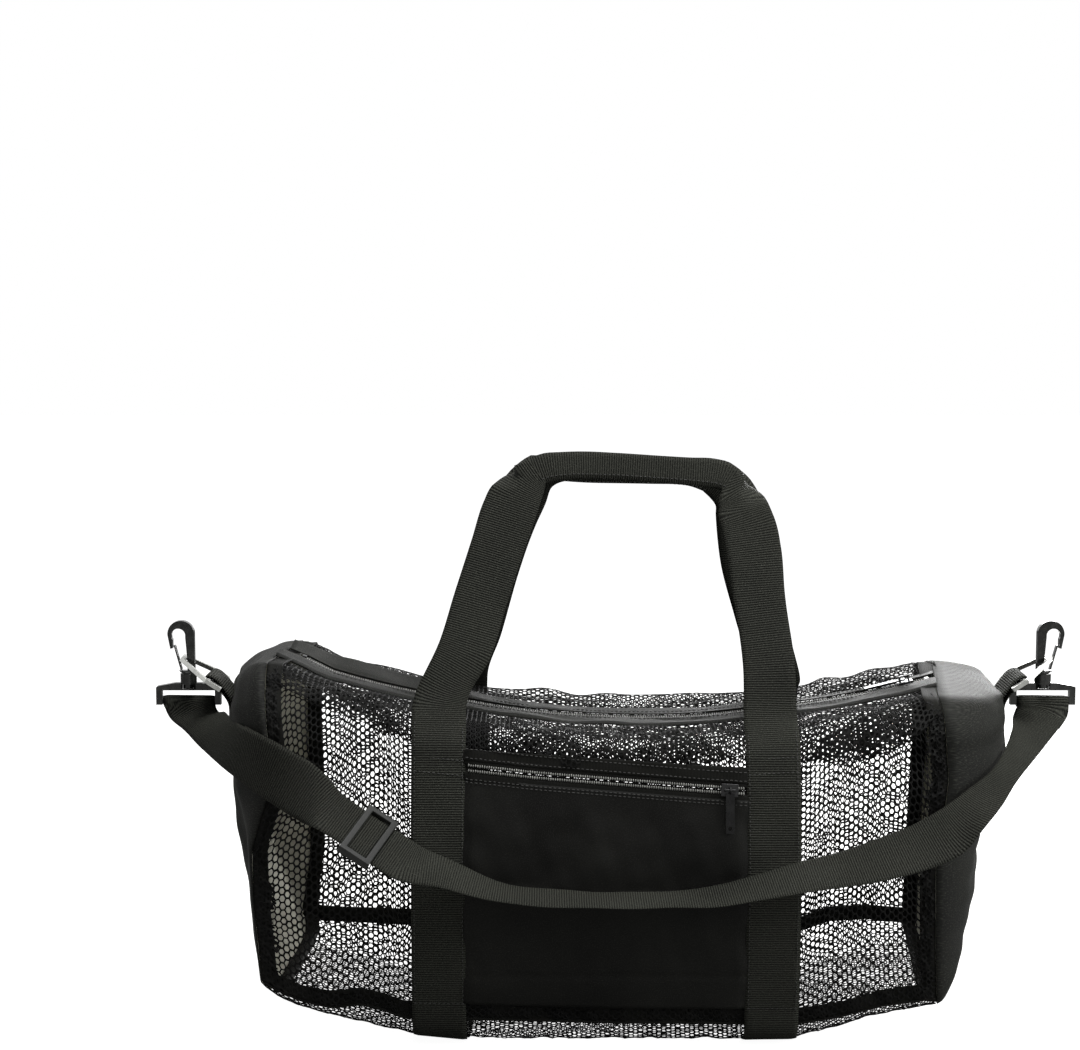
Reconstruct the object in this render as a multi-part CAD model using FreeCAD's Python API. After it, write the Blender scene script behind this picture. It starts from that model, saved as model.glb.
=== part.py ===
import FreeCAD, Part
import math
import os

# Mesh ball bag: a netting duffel with two webbing carry handles, a sagging top zip,
# a zipped front pocket, solid ends and a clip-on shoulder strap.
# Millimetres. X runs along the bag, -Y is its front, Z is up. The origin is on the
# floor, in the middle of the flat belly that the bag rests on.

# body
seam_x = 245.0            # half length between the two end seams
seam_z = 34.0             # height of the bottom corner seams
seam_y = 96.0             # half depth at the bottom seams
bulge_y = 104.0           # half depth where the walls bulge most
wall_top_y = 90.0         # half depth where the wall turns into the shoulder
wall_top_z = 212.0
shoulder_out = 0.74       # middle of the rounded shoulder, as shares of its depth
shoulder_up = 0.70        # and of its height
flap_y = 62.0             # half depth where the shoulder meets the level top
flap_drop = 1.0           # how far the top falls away from the zip
strip_y = 27.0            # half depth of the solid strips beside the zip
net_t = 1.2               # netting, with its folded edges
cloth_t = 1.0             # woven polyester
dome_extra = 0.2          # cloth of the ends is drawn a little thicker where it slopes
gap = 0.4                 # clearance between stacked soft layers
butt = 0.3                # clearance between edges that are sewn together
belly_end = 95.0          # length at each end over which the belly rises
belly_x = seam_x - belly_end
belly_slope = 0.34        # how fast the belly rises beyond it
belly_y = 66.0
wall_end = 135.0          # length at each end over which the walls draw in
flat_wall_x = seam_x - wall_end
end_pinch_in = 7.0        # how much less the walls bulge at the ends
dome_depth = 36.0
binding_w = 12.0          # seam binding inside each end
seam_h = 10.0             # folded seam allowance along the bottom corners
seam_t = 1.5
dome_z = 236.0            # height at which the tabs pull the ends out furthest
# share of the dome's depth and of the end's outline
dome_steps = [(0.0, 1.0), (0.45, 0.85), (0.8, 0.6), (1.0, 0.25)]

# top line: an arc that hangs between the two ends
top_left_z = 272.0
top_mid_z = 224.0
top_right_z = 254.0

# main zip
coil_gap = 1.4            # between the two rows of teeth, for the slider's post
coil_w = 2.3
coil_t = 2.2
tape_w = 8.0
tape_under_flap = 6.0     # how much of the tape lies under the strip beside it
coil_drop = 0.3           # top of the coil below the top line
tape_t = 0.8
zip_end_in = 17.0         # from the end seam
zip_end_x = seam_x - zip_end_in
stop_l = 3.0
slider_l = 12.0
slider_w = 9.0
plate_t = 1.1
post_w = 0.8
post_l = 3.0
pull_l = 30.0
pull_w = 6.0
pull_t = 1.2
bail_w = 1.6
bail_l = 8.0
bail_h = 4.2
bail_bar = 1.3
bail_leg = 1.4
bail_root = 0.2           # how far the bail is let into the plate
pin_rise = 1.35           # main pull's pin above the plate
pull_pin_r = 0.6
pull_hole_r = 1.4
pull_hole_in = 3.4        # from the pull's end
pull_fork_l = 7.5         # two rails that straddle the bail
pull_fork_w = 1.3
pull_fork_gap = 0.4
pull_joint = 1.0
pull_eye_r = 2.15         # eye of the hanging pull
pull_eye_in = 0.25
main_slider_in = 14.0     # from the closed end of the zip
main_slider_x = zip_end_x - main_slider_in

# pocket
pocket_x0 = -107.7
pocket_x1 = 87.7
pocket_bottom_z = 40.0
pocket_zip_z = 191.4      # height of the pocket zip at x = 0
pocket_zip_slope = -0.06
pocket_off = 2.4          # how far the pocket stands off the netting
pocket_band = 6.7
pocket_tape_w = 2.7
pocket_coil_in = 0.4      # coil sits in behind the pocket's face
pocket_tape_out = 0.1
pocket_slider_x = 76.0
pocket_zip_margin = 2.0
pull_lean = 4.0           # the hanging pull leans out over the pocket's bulge

# webbing
web_w = 38.0
web_t = 1.4
front_strap_x = (-127.0, 107.0)
back_strap_x = (-116.0, 126.0)
strap_bed = 1.8           # the belly is pressed in this far over each bottom strap
strap_bed_edge = 2.0
under_points = 11         # stations round each bottom corner
under_trim = 0.6          # end of the bottom webbing below the wall's webbing
hinge_y = 72.0            # where the handles leave the bag
handle_lean = 19.8        # degrees inwards
hinge_lift = 1.4          # handle's fold above the sewn webbing
fold_clear = 0.7          # sewn end outwards of the fold
fold_drop = 0.75          # sewn end below the fold
rise_share = 0.4          # how much of the end's rise is left at the shoulder

# handle outline in its own plane: outer edge, inner edge and thickness, from the
# left foot over the grip, where the webbing is folded in half, to the right foot
front_outline = [
    ((-136, 0), (-98, 0), 1.4),
    ((-119, 55), (-82.5, 44), 1.4),
    ((-106, 98), (-70, 86), 1.4),
    ((-93, 143), (-56, 133), 1.4),
    ((-87, 160), (-52, 148), 1.8),
    ((-79, 172), (-49, 158), 2.6),
    ((-65, 181), (-46, 164), 3.8),
    ((-49, 187), (-40, 167), 5.0),
    ((-30, 189), (-28, 169), 5.0),
    ((15, 189.5), (15, 169.5), 5.0),
    ((58, 187.5), (55, 168), 5.0),
    ((76, 185), (68, 166), 5.0),
    ((91, 180), (76, 161), 3.8),
    ((103, 171), (80, 154), 2.6),
    ((112, 159), (81, 144), 1.8),
    ((121, 135), (84, 128), 1.4),
    ((126, 98), (88.5, 94), 1.4),
    ((131, 55), (93, 53), 1.4),
    ((136, 0), (98, 0), 1.4)]
back_outline = [
    ((-136, 0), (-98, 0), 1.4),
    ((-124, 42), (-88.7, 34), 1.4),
    ((-112, 98), (-76, 90), 1.4),
    ((-100, 140), (-64, 131), 1.4),
    ((-94, 155), (-58, 147), 1.8),
    ((-85, 166), (-55, 158), 2.6),
    ((-70, 177), (-50, 163), 3.8),
    ((-52, 181), (-45, 165), 5.0),
    ((-30, 183.5), (-28, 164), 5.0),
    ((15, 184), (15, 164.5), 5.0),
    ((48, 182), (46, 163), 5.0),
    ((62, 179), (54, 160), 5.0),
    ((76, 173.5), (60, 154), 3.8),
    ((88, 165), (64, 148), 2.6),
    ((98, 152), (64.5, 141), 1.8),
    ((106.5, 108.5), (70.5, 100), 1.4),
    ((119.5, 62), (83.1, 56), 1.4),
    ((128, 31), (91.5, 28), 1.4),
    ((136, 0), (98, 0), 1.4)]
handle_half = 117.0       # half the distance between the feet in that outline

# shoulder strap hardware
hook_z = 254.0            # top face of the swivel socket
hook_t = 5.0
shaft_r = 2.5
shaft_gap = 0.3
head_r = 4.0
head_t = 2.8
socket_r = 6.0
socket_h = 13.0
bar_top = -19.5           # lower bar of the loop, from the socket's top face
bar_bottom = -24.0
bar_y = 3.6
bar_round = 1.2
loop_chamfer = 3.0
loop_shoulder = 9.5       # half width of the loop's top beside the socket
shoulder_drop = 2.5
slot_gap = 0.5            # beside each edge of the webbing
slot_w = web_w + 2 * slot_gap
loop_side = 4.5
loop_w = slot_w + 2 * loop_side
loop_t = 5.0
loop_top = -8.0
bar_inset = 0.4           # lower bar above the ends of the loop's sides
slot_drop = 0.6           # slot's top below the socket
mouth = 4.0               # solid floor of the socket, below its bore
head_floor = 0.8
collar_t = 1.4
collar_in = 0.8
gate_t = 1.3
gate_w = 4.4
gate_root = (5.0, 2.2)    # out from the swivel axis, and up from the socket's top
gate_tip = (9.9, 20.0)
gate_foot = 0.6
# hook outline in the same terms: back, crown (an arc's middle and end), nose, the
# inside of the crown (another arc), stem and seat
hook_back = ((-4.9, 0), (-4.9, 28))
hook_crown = ((5.0, 38.3), (14.8, 27.5))
hook_nose = ((12.9, 17.5), (11.2, 17.8), (11.2, 24.5))
hook_inside = ((6.2, 32.4), (1.8, 26.5))
hook_stem = ((0.4, 8), (0.4, 1.2), (6.6, 1.2), (5.4, 0), (-4.9, 0))

# triangle rings and their tabs
ring_bar_out = 17.4       # beyond the deepest point of the ends
ring_bar_x = seam_x + dome_depth + ring_bar_out
hook_out = 17.6           # swivel axis beyond the ring's bar
hook_x = ring_bar_x + hook_out
ring_bar_z = 250.3
ring_slope = 33.0
ring_t = 3.2
ring_bar_r = 2.0
ring_out = 24.0
ring_leg = 11.0
ring_len = 26.55
ring_tip_half = 11.0      # half width of the ring's blunt tip, before its corners
ring_wall = 4.0           # width of the ring's sides
ring_tip_wall = 3.1
ring_neck = 2.0           # straight part beyond the bar
tab_w = 37.0
tab_t = 1.4
tab_foot_z = 198.0
tab_top_z = 239.5
tab_loop_gap = 0.5

# shoulder strap: its lower and upper edge, from the left clip across the front of
# the bag to the right clip. It turns from facing forward to lying level, and back.
strap_route = [
    ((-335, -3.4, 232), (-297, -3.4, 232)),
    ((-331, -5, 224), (-294, -6, 226)),
    ((-318, -18, 215), (-286, -26, 229)),
    ((-303, -38, 206), (-277, -56, 230)),
    ((-277, -76, 196), (-260, -90, 229)),
    ((-247, -106, 183), (-233, -106, 219)),
    ((-219, -122, 170), (-207, -107, 203))]
glide_centre = (-174.0, -123.0, 160.5)
glide_along = (0.84, -0.125, -0.527)
glide_across = (0.384, 0.824, 0.417)
glide_reach = 29.0        # half length of the straight stretch
strap_route_right = [
    ((-122, -144, 130), (-121, -108.2, 142)),
    ((-83, -146, 121), (-84, -108.2, 125)),
    ((-29, -146, 117), (-28, -108.2, 118.5)),
    ((27, -146, 117), (27, -108.2, 118)),
    ((65, -146, 118), (66, -108.2, 122)),
    ((94, -145, 122), (97, -108.2, 131)),
    ((122, -144, 127), (125, -108.2, 139)),
    ((150, -142, 130), (151, -108.2, 146)),
    ((182, -139, 135), (180, -108.2, 156)),
    ((213, -134, 142), (206, -107.5, 167)),
    ((234, -131, 152), (227, -106, 179)),
    ((246.5, -129, 166.5), (243, -98.5, 189)),
    ((261, -117, 179.5), (261, -84, 198)),
    ((275, -97, 191), (274.5, -63, 208)),
    ((293, -70, 201), (286, -36, 218)),
    ((310, -43, 209), (291, -16, 223)),
    ((325, -20, 217), (295, -8, 228)),
    ((334, -6.5, 224), (297, -5, 229.5)),
    ((335, -3.4, 232), (297, -3.4, 232))]
layer_gap = 1.0           # between the two layers beside each clip
return_stub = 2           # stations of doubled webbing at the right clip
bar_clear = 2.8           # how far the folded webbing drops before it passes under
fold_full = 1.35          # how soon the fold over the bar reaches its height

# strap adjuster
glide_l = 24.0
glide_rail = 4.0
glide_bar = 4.5
glide_t = 2.0
glide_gap = 0.5
glide_loop_l = 9.0

LEFT = -1
RIGHT = 1
FRONT = -1
BACK = 1
parts = {}


def vec(x, y, z):
    return FreeCAD.Vector(x, y, z)


def polygon(points):
    return Part.makePolygon(list(points) + [points[0]])


def loft(wires):
    return Part.makeLoft(wires, True, True)


def box(x0, x1, y0, y1, z0, z1):
    return Part.makeBox(x1 - x0, y1 - y0, z1 - z0, vec(x0, y0, z0))


strip_in = coil_gap / 2 + coil_w + tape_under_flap
strip_fall = flap_drop / (flap_y - strip_in)


def circle_through(a, b, c):
    """Centre and radius of the circle through three points given as (y, z)."""
    d = 2 * (a[0] * (b[1] - c[1]) + b[0] * (c[1] - a[1]) + c[0] * (a[1] - b[1]))
    sa, sb, sc = (p[0] ** 2 + p[1] ** 2 for p in (a, b, c))
    cy = (sa * (b[1] - c[1]) + sb * (c[1] - a[1]) + sc * (a[1] - b[1])) / d
    cz = (sa * (c[0] - b[0]) + sb * (a[0] - c[0]) + sc * (b[0] - a[0])) / d
    return cy, cz, math.hypot(a[0] - cy, a[1] - cz)


top_cx, top_cz, top_r = circle_through((-seam_x, top_left_z), (0, top_mid_z), (seam_x, top_right_z))


def top_z(x):
    return top_cz - math.sqrt(top_r ** 2 - (x - top_cx) ** 2)


def wall_circle(x):
    past = max(0.0, abs(x) - flat_wall_x) / (seam_x - flat_wall_x)
    middle = (bulge_y - end_pinch_in * past ** 2, (seam_z + wall_top_z) / 2)
    return circle_through((seam_y, seam_z), middle, (wall_top_y, wall_top_z))


def wall_point(x, z, off=0.0):
    """Point (half depth, height) on the wall's outer face, moved off it by off."""
    cy, cz, r = wall_circle(x)
    y = cy + math.sqrt(r ** 2 - (z - cz) ** 2)
    return y + off * (y - cy) / r, z + off * (z - cz) / r


def shoulder_arc(x, off=0.0):
    """Three points of the shoulder, from the top of the wall to the flap."""
    end = (flap_y, top_z(x) - flap_drop)
    start = (wall_top_y, wall_top_z)
    drop = end[1] - start[1]
    middle = (flap_y + shoulder_out * (wall_top_y - flap_y), start[1] + shoulder_up * drop)
    mid_n = (0.55, 0.835)
    start_n = (0.93, 0.37)
    return [(start[0] + off * start_n[0], start[1] + off * start_n[1]),
            (middle[0] + off * mid_n[0], middle[1] + off * mid_n[1]),
            (end[0] + off * 0.10, end[1] + off)]


def wall_edges(x, z0, z1, off, side):
    pts = [wall_point(x, z, off) for z in (z0, (z0 + z1) / 2, z1)]
    return Part.Arc(*[vec(x, side * y, z) for y, z in pts]).toShape(), pts


def wall_section(x, z0, z1, off, thick, side):
    """Closed wire of a layer on the wall, from height z0 to z1."""
    outer, po = wall_edges(x, z0, z1, off + thick, side)
    inner, pi = wall_edges(x, z0, z1, off, side)
    ends = [Part.makeLine(vec(x, side * a[0], a[1]), vec(x, side * b[0], b[1]))
            for a, b in ((po[0], pi[0]), (po[2], pi[2]))]
    return Part.Wire(Part.__sortEdges__([outer, ends[1], inner, ends[0]]))


def panel_outline(x, off, z0):
    """Wall and shoulder edge as (y, z) points of two arcs."""
    shoulder = shoulder_arc(x, off)
    wall = [wall_point(x, z0, off), wall_point(x, (z0 + wall_top_z) / 2, off), shoulder[0]]
    return wall, shoulder


def section_wire(x, side, outer, inner, level=None):
    """Closed wire across a layer: two arcs for each face, and a level end if given."""
    runs = []
    ends = []
    for wall, shoulder in (outer, inner):
        runs += [Part.Arc(*[vec(x, side * y, z) for y, z in run]).toShape() for run in (wall, shoulder)]
        y, z = shoulder[2]
        end = vec(x, side * y, z)
        if level:
            tip = vec(x, side * level, z + strip_fall * (y - level))
            runs.append(Part.makeLine(end, tip))
            end = tip
        ends.append(end)
    a, b = outer[0][0], inner[0][0]
    runs.append(Part.makeLine(vec(x, side * a[0], a[1]), vec(x, side * b[0], b[1])))
    runs.append(Part.makeLine(*ends))
    return Part.Wire(Part.__sortEdges__(runs))


def panel_section(x, z0, off, thick, side):
    return section_wire(x, side, panel_outline(x, off + thick, z0), panel_outline(x, off, z0), strip_y)


def span(x0, x1, step=24.5):
    count = max(1, int(round(abs(x1 - x0) / step)))
    return [x0 + (x1 - x0) * i / count for i in range(count + 1)]


def ribbon(stations, thick):
    """Flat webbing through (lower edge, upper edge, thickness) stations."""
    centres = [(a + b) * 0.5 for a, b in stations]
    wires = []
    for i, (a, b) in enumerate(stations):
        along = centres[min(i + 1, len(centres) - 1)] - centres[max(i - 1, 0)]
        normal = along.cross(b - a).normalize()
        t = (thick[i] if isinstance(thick, list) else thick) / 2
        wires.append(polygon([a + normal * t, b + normal * t, b - normal * t, a - normal * t]))
    return loft(wires)


def shifted(stations, off):
    """The same ribbon moved along its own normal."""
    centres = [(a + b) * 0.5 for a, b in stations]
    moved = []
    for i, (a, b) in enumerate(stations):
        along = centres[min(i + 1, len(centres) - 1)] - centres[max(i - 1, 0)]
        normal = along.cross(b - a).normalize()
        moved.append((a + normal * off, b + normal * off))
    return moved


def arc_strip(y0, y1, z0, z1, x0, x1):
    """Bar that follows the top line: section y0..y1, z0..z1 above the line."""
    lo = math.asin((x0 - top_cx) / top_r)
    hi = math.asin((x1 - top_cx) / top_r)
    section = [(y0, z0[0]), (y1, z0[1]), (y1, z1[1]), (y0, z1[0])]
    face = Part.Face(polygon([vec(top_cx, y, top_cz - top_r + z) for y, z in section]))
    start = face.rotated(vec(top_cx, 0, top_cz), vec(0, 1, 0), -math.degrees(lo))
    return start.revolve(vec(top_cx, 0, top_cz), vec(0, 1, 0), -math.degrees(hi - lo))


def on_top_line(shape, x):
    """Turn a shape modelled at the lowest point of the top line to station x."""
    angle = math.degrees(math.asin((x - top_cx) / top_r))
    return shape.rotated(vec(top_cx, 0, top_cz), vec(0, 1, 0), -angle)


# ---- netting, ends and solid cloth

def net_wall(side):
    return loft([panel_section(x, seam_z, -net_t, net_t, side) for x in span(-seam_x + butt, seam_x - butt)])


def belly_z(x):
    return max(0.0, (abs(x) - belly_x) * belly_slope)


def bed_ranges():
    half = web_w / 2 + strap_bed_edge
    return [(min(f, b) - half, max(f, b) + half) for f, b in zip(front_strap_x, back_strap_x)]


def bottom_outline(x, off, bed):
    """Right half of the bottom: corner arc and the start of the flat, as (y, z)."""
    z = max(belly_z(x), strap_bed if bed else 0.0)
    seam = (seam_y, seam_z - butt)
    middle = (belly_y + 0.78 * (seam_y - belly_y), z + 0.30 * (seam[1] - z))
    return [(seam[0] - off, seam[1]), (middle[0] - 0.75 * off, middle[1] + 0.66 * off),
            (belly_y, z + off)]


def bottom_section(x, bed):
    outer = bottom_outline(x, 0.0, bed)
    inner = bottom_outline(x, net_t, bed)
    edges = []
    for run in (outer, inner):
        for side in (FRONT, BACK):
            edges.append(Part.Arc(*[vec(x, side * y, z) for y, z in run]).toShape())
        edges.append(Part.makeLine(vec(x, -run[2][0], run[2][1]), vec(x, run[2][0], run[2][1])))
    for side in (FRONT, BACK):
        a, b = outer[0], inner[0]
        edges.append(Part.makeLine(vec(x, side * a[0], a[1]), vec(x, side * b[0], b[1])))
    return Part.Wire(Part.__sortEdges__(edges))


def net_bottom():
    stations = [(x, False) for x in span(-seam_x + butt, -belly_x - 2 * strap_bed_edge)]
    for lo, hi in bed_ranges():
        stations += [(lo - strap_bed_edge, False), (lo, True), (hi, True), (hi + strap_bed_edge, False)]
    stations += [(x, False) for x in span(belly_x + 2 * strap_bed_edge, seam_x - butt)]
    return loft([bottom_section(x, bed) for x, bed in stations])


def end_outline(x, scale, inset, shape_x):
    """The bag's outline at shape_x, put at x and shrunk towards the dome's middle."""
    def place(y, z):
        return vec(x, y * scale, dome_z + (z - dome_z) * scale)
    wall, shoulder = panel_outline(shape_x, -inset, seam_z + inset)
    edges = []
    for side in (FRONT, BACK):
        for run in (wall, shoulder):
            edges.append(Part.Arc(*[place(side * y, z) for y, z in run]).toShape())
    for y, z in (wall[0], shoulder[2]):
        edges.append(Part.makeLine(place(-y, z), place(y, z)))
    return Part.Wire(Part.__sortEdges__(edges))


def end_panel(sign):
    def shell(steps, depth, inset):
        seam = sign * seam_x
        return loft([end_outline(seam + sign * depth * f, s, inset, seam) for f, s in steps])
    inner_steps = [(-0.1, 1.0)] + dome_steps
    hollow = shell(inner_steps, dome_depth - cloth_t, cloth_t + dome_extra)
    return shell(dome_steps, dome_depth, 0.0).cut(hollow)


def end_binding(sign):
    def ring_of(inset, grow):
        ends = (seam_x - 1 - binding_w - grow, seam_x - 1 + grow)
        return loft([end_outline(sign * x, 1.0, inset, sign * x) for x in ends])
    return ring_of(net_t + gap, 0.0).cut(ring_of(net_t + gap + cloth_t, 1.0))


def bottom_seam(side):
    y = seam_y - net_t - gap
    x = seam_x - 2 - binding_w
    return box(-x, x, min(side * y, side * (y - seam_t)), max(side * y, side * (y - seam_t)),
               seam_z, seam_z + seam_h)


def top_flap(side):
    low = -strip_fall * (strip_y - strip_in)
    strip = arc_strip(strip_in, strip_y - butt, (-cloth_t, low - cloth_t), (0.0, low), -seam_x + 1, seam_x - 1)
    return strip if side == BACK else strip.mirror(vec(0, 0, 0), vec(0, 1, 0))


parts["mesh_front_panel"] = net_wall(FRONT)
parts["mesh_back_panel"] = net_wall(BACK)
parts["mesh_bottom_panel"] = net_bottom()
parts["zip_flap_front"] = top_flap(FRONT)
parts["zip_flap_back"] = top_flap(BACK)
parts["bottom_seam_front"] = bottom_seam(FRONT)
parts["bottom_seam_back"] = bottom_seam(BACK)
for name, sign in (("left", LEFT), ("right", RIGHT)):
    parts["end_panel_" + name] = end_panel(sign)
    parts["end_binding_" + name] = end_binding(sign)

# ---- main zip

coil_z = -coil_t / 2 - coil_drop
for name, side in (("front", FRONT), ("back", BACK)):
    y0 = coil_gap / 2
    low, high = coil_z - coil_t / 2, coil_z + coil_t / 2
    coil = arc_strip(y0, y0 + coil_w, (low, low), (high, high), -zip_end_x, zip_end_x)
    tape_y = y0 + coil_w + butt
    tape_z = -cloth_t - gap
    tape = arc_strip(tape_y, tape_y + tape_w, (tape_z - tape_t,) * 2, (tape_z,) * 2, -zip_end_x, zip_end_x)
    if side == FRONT:
        coil = coil.mirror(vec(0, 0, 0), vec(0, 1, 0))
        tape = tape.mirror(vec(0, 0, 0), vec(0, 1, 0))
    parts["main_zip_coil_" + name] = coil
    parts["main_zip_tape_" + name] = tape


def zip_stop(x, y0, y1, z0, z1):
    return arc_strip(y0, y1, (z0, z0), (z1, z1), x, x + stop_l)


stop_y = coil_gap / 2 + coil_w
stops = [zip_stop(x, -stop_y, stop_y, coil_z - coil_t / 2, coil_z + coil_t / 2)
         for x in (-zip_end_x - butt - stop_l, zip_end_x + butt)]
parts["main_zip_stops"] = Part.makeCompound(stops)


def slider_body():
    """Slider around a coil whose middle is the origin: two plates, a post and a bail."""
    reach = coil_t / 2 + gap
    half = slider_l / 2
    top = box(-half, half, -slider_w / 2, slider_w / 2, reach, reach + plate_t)
    bottom = box(-half, half, -slider_w / 2, slider_w / 2, -reach - plate_t, -reach)
    post = box(half - post_l, half, -post_w / 2, post_w / 2, -reach - plate_t / 2, reach + plate_t / 2)
    foot = reach + plate_t
    bail = box(-bail_l / 2, bail_l / 2, -bail_w / 2, bail_w / 2, foot - bail_root, foot + bail_h)
    eye = bail_l / 2 - bail_leg
    window = box(-eye, eye, -bail_w, bail_w, foot, foot + bail_h - bail_bar)
    return top.fuse([bottom, post, bail.cut(window)]).removeSplitter()


pin_h = coil_t / 2 + gap + plate_t + pin_rise


def pull_tab(length):
    """Pull with its pin at the origin, pointing along -X."""
    rail_in = bail_w / 2 + pull_fork_gap
    rail_out = rail_in + pull_fork_w
    pin = Part.makeCylinder(pull_pin_r, 2 * rail_out, vec(0, -rail_out, 0), vec(0, 1, 0))
    rails = [box(-pull_fork_l, 0, y, y + pull_fork_w, -pull_t / 2, pull_t / 2) for y in (-rail_out, rail_in)]
    tab = box(-length, pull_joint - pull_fork_l, -pull_w / 2, pull_w / 2, -pull_t / 2, pull_t / 2)
    hole = Part.makeCylinder(pull_hole_r, 2 * pull_t, vec(-length + pull_hole_in, 0, -pull_t))
    return pin.fuse(rails + [tab]).cut(hole).removeSplitter()


line_z = top_cz - top_r
slider = slider_body().translated(vec(top_cx, 0, line_z + coil_z))
pull = pull_tab(pull_l).translated(vec(top_cx, 0, line_z + coil_z + pin_h))
parts["main_zip_slider"] = on_top_line(slider, main_slider_x)
parts["main_zip_pull"] = on_top_line(pull, main_slider_x)

# ---- pocket


def pocket_zip_at(x):
    return pocket_zip_z + pocket_zip_slope * x


def pocket_layer(x0, x1, low, high, off, thick):
    """Layer on the front wall; low and high are functions of x."""
    return loft([wall_section(x, low(x), high(x), off, thick, FRONT) for x in (x0, x1)])


tape_edge = coil_gap / 2 + coil_w + butt
band_edge = tape_edge + pocket_tape_w + butt
parts["pocket_panel"] = pocket_layer(pocket_x0, pocket_x1, lambda x: pocket_bottom_z,
                                     lambda x: pocket_zip_at(x) - band_edge, pocket_off, cloth_t)
band_top = band_edge + pocket_band
parts["pocket_top_band"] = pocket_layer(pocket_x0, pocket_x1, lambda x: pocket_zip_at(x) + band_edge,
                                        lambda x: pocket_zip_at(x) + band_top, pocket_off, cloth_t)
zip_x0 = pocket_x0 + pocket_zip_margin
zip_x1 = pocket_x1 - pocket_zip_margin


def pocket_row(near, far, side, off, thick):
    """Strip of the pocket zip between two distances from its middle line."""
    low, high = min(side * near, side * far), max(side * near, side * far)
    return pocket_layer(zip_x0, zip_x1, lambda x: pocket_zip_at(x) + low, lambda x: pocket_zip_at(x) + high,
                        off, thick)


for name, side in (("lower", -1), ("upper", 1)):
    coil = pocket_row(coil_gap / 2, coil_gap / 2 + coil_w, side, pocket_off - pocket_coil_in, coil_t)
    tape = pocket_row(tape_edge, band_edge - butt, side, pocket_off + pocket_tape_out, tape_t)
    parts["pocket_zip_coil_" + name] = coil
    parts["pocket_zip_tape_" + name] = tape


def pocket_line(x):
    """Point in the middle of the pocket zip's coil at one of its ends."""
    y, z = wall_point(x, pocket_zip_at(x), pocket_off - pocket_coil_in + coil_t / 2)
    return vec(x, -y, z)


def pocket_frame(x):
    """Placement on the pocket zip at x: X along the zip, Z out of the bag."""
    start, end = pocket_line(zip_x0), pocket_line(zip_x1)
    along = (end - start).normalize()
    point = start + along * ((x - start.x) / along.x)
    cy, cz, r = wall_circle(x)
    out = vec(0, point.y + cy, point.z - cz).normalize()
    out = (out - along * out.dot(along)).normalize()
    rot = FreeCAD.Rotation(along, out.cross(along), out, "ZXY")
    return FreeCAD.Placement(point, rot), along, out


pocket_place, pocket_along, pocket_out = pocket_frame(pocket_slider_x)
slider = slider_body()
slider.Placement = pocket_place
parts["pocket_zip_slider"] = slider
bail_top = coil_t / 2 + gap + plate_t + bail_h - bail_bar / 2
pocket_pin = pocket_place.multVec(vec(0, 0, bail_top))


def hanging_pull():
    """Pull on the pocket slider: hangs down from the bail, flat to the pocket."""
    eye = Part.makeTorus(pull_eye_r, pull_pin_r, vec(0, 0, 0), vec(1, 0, 0))
    tab_top = -pull_eye_r - pull_eye_in
    tab = box(-pull_w / 2, pull_w / 2, -pull_t / 2, pull_t / 2, -pull_l, tab_top)
    hole = Part.makeCylinder(pull_hole_r, 2 * pull_t, vec(0, -pull_t, -pull_l + pull_hole_in), vec(0, 1, 0))
    return eye.fuse(tab).cut(hole).removeSplitter()


pull = hanging_pull()
pull.Placement = FreeCAD.Placement(pocket_pin, FreeCAD.Rotation(vec(1, 0, 0), -pull_lean))
parts["pocket_zip_pull"] = pull

# ---- webbing on the bag


def surface_height(x):
    """Height of the sewn webbing's outer face at the handle's fold."""
    a, b, c = shoulder_arc(x, gap + web_t)
    cy, cz, r = circle_through(a, b, c)
    return cz + math.sqrt(r ** 2 - (hinge_y - cy) ** 2)


def fold_line(strap_x):
    """Height of a handle's straight fold as a function of x, clear of both straps."""
    low, high = (surface_height(x) for x in strap_x)
    slope = (high - low) / (strap_x[1] - strap_x[0])

    def chord(x):
        return low + slope * (x - strap_x[0])
    edges = [x + half for x in strap_x for half in (-web_w / 2, web_w / 2)]
    lift = hinge_lift + max(surface_height(x) - chord(x) for x in edges)
    return lambda x: chord(x) + lift


def strap_on_wall(x, side, fold):
    """Webbing sewn up one wall; its end rises to lie along the handle's fold."""
    wires = []
    for edge in (x - web_w / 2, x + web_w / 2):
        faces = []
        for off, below in ((gap + web_t, fold_drop), (gap, fold_drop + web_t)):
            wall, shoulder = panel_outline(edge, off, seam_z)
            rise = fold(edge) - hinge_lift - surface_height(edge)
            middle = (shoulder[1][0], shoulder[1][1] + rise * rise_share)
            faces.append((wall, [shoulder[0], middle, (hinge_y + fold_clear, fold(edge) - below)]))
        wires.append(section_wire(edge, side, *faces))
    return loft(wires)


def strap_under(x_front, x_back):
    """Webbing under the bottom, from one wall's strap to the other's."""
    run = bottom_outline(0, -gap - web_t / 2, True)
    corner = Part.Arc(*[vec(0, y, z) for y, z in run])
    pts = [(p.y, p.z) for p in corner.toShape().discretize(under_points)]
    pts[0] = (pts[0][0], pts[0][1] - under_trim)
    path = [(-y, z) for y, z in pts] + [(y, z) for y, z in reversed(pts)]
    stations = []
    for y, z in path:
        x = x_front + (x_back - x_front) * (y + seam_y) / (2 * seam_y)
        stations.append((vec(x - web_w / 2, y, z), vec(x + web_w / 2, y, z)))
    return ribbon(stations, web_t)


for i, name in enumerate(("left", "right")):
    parts["front_strap_" + name] = strap_on_wall(front_strap_x[i], FRONT, fold_line(front_strap_x))
    parts["back_strap_" + name] = strap_on_wall(back_strap_x[i], BACK, fold_line(back_strap_x))
    parts["bottom_strap_" + name] = strap_under(front_strap_x[i], back_strap_x[i])


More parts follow.
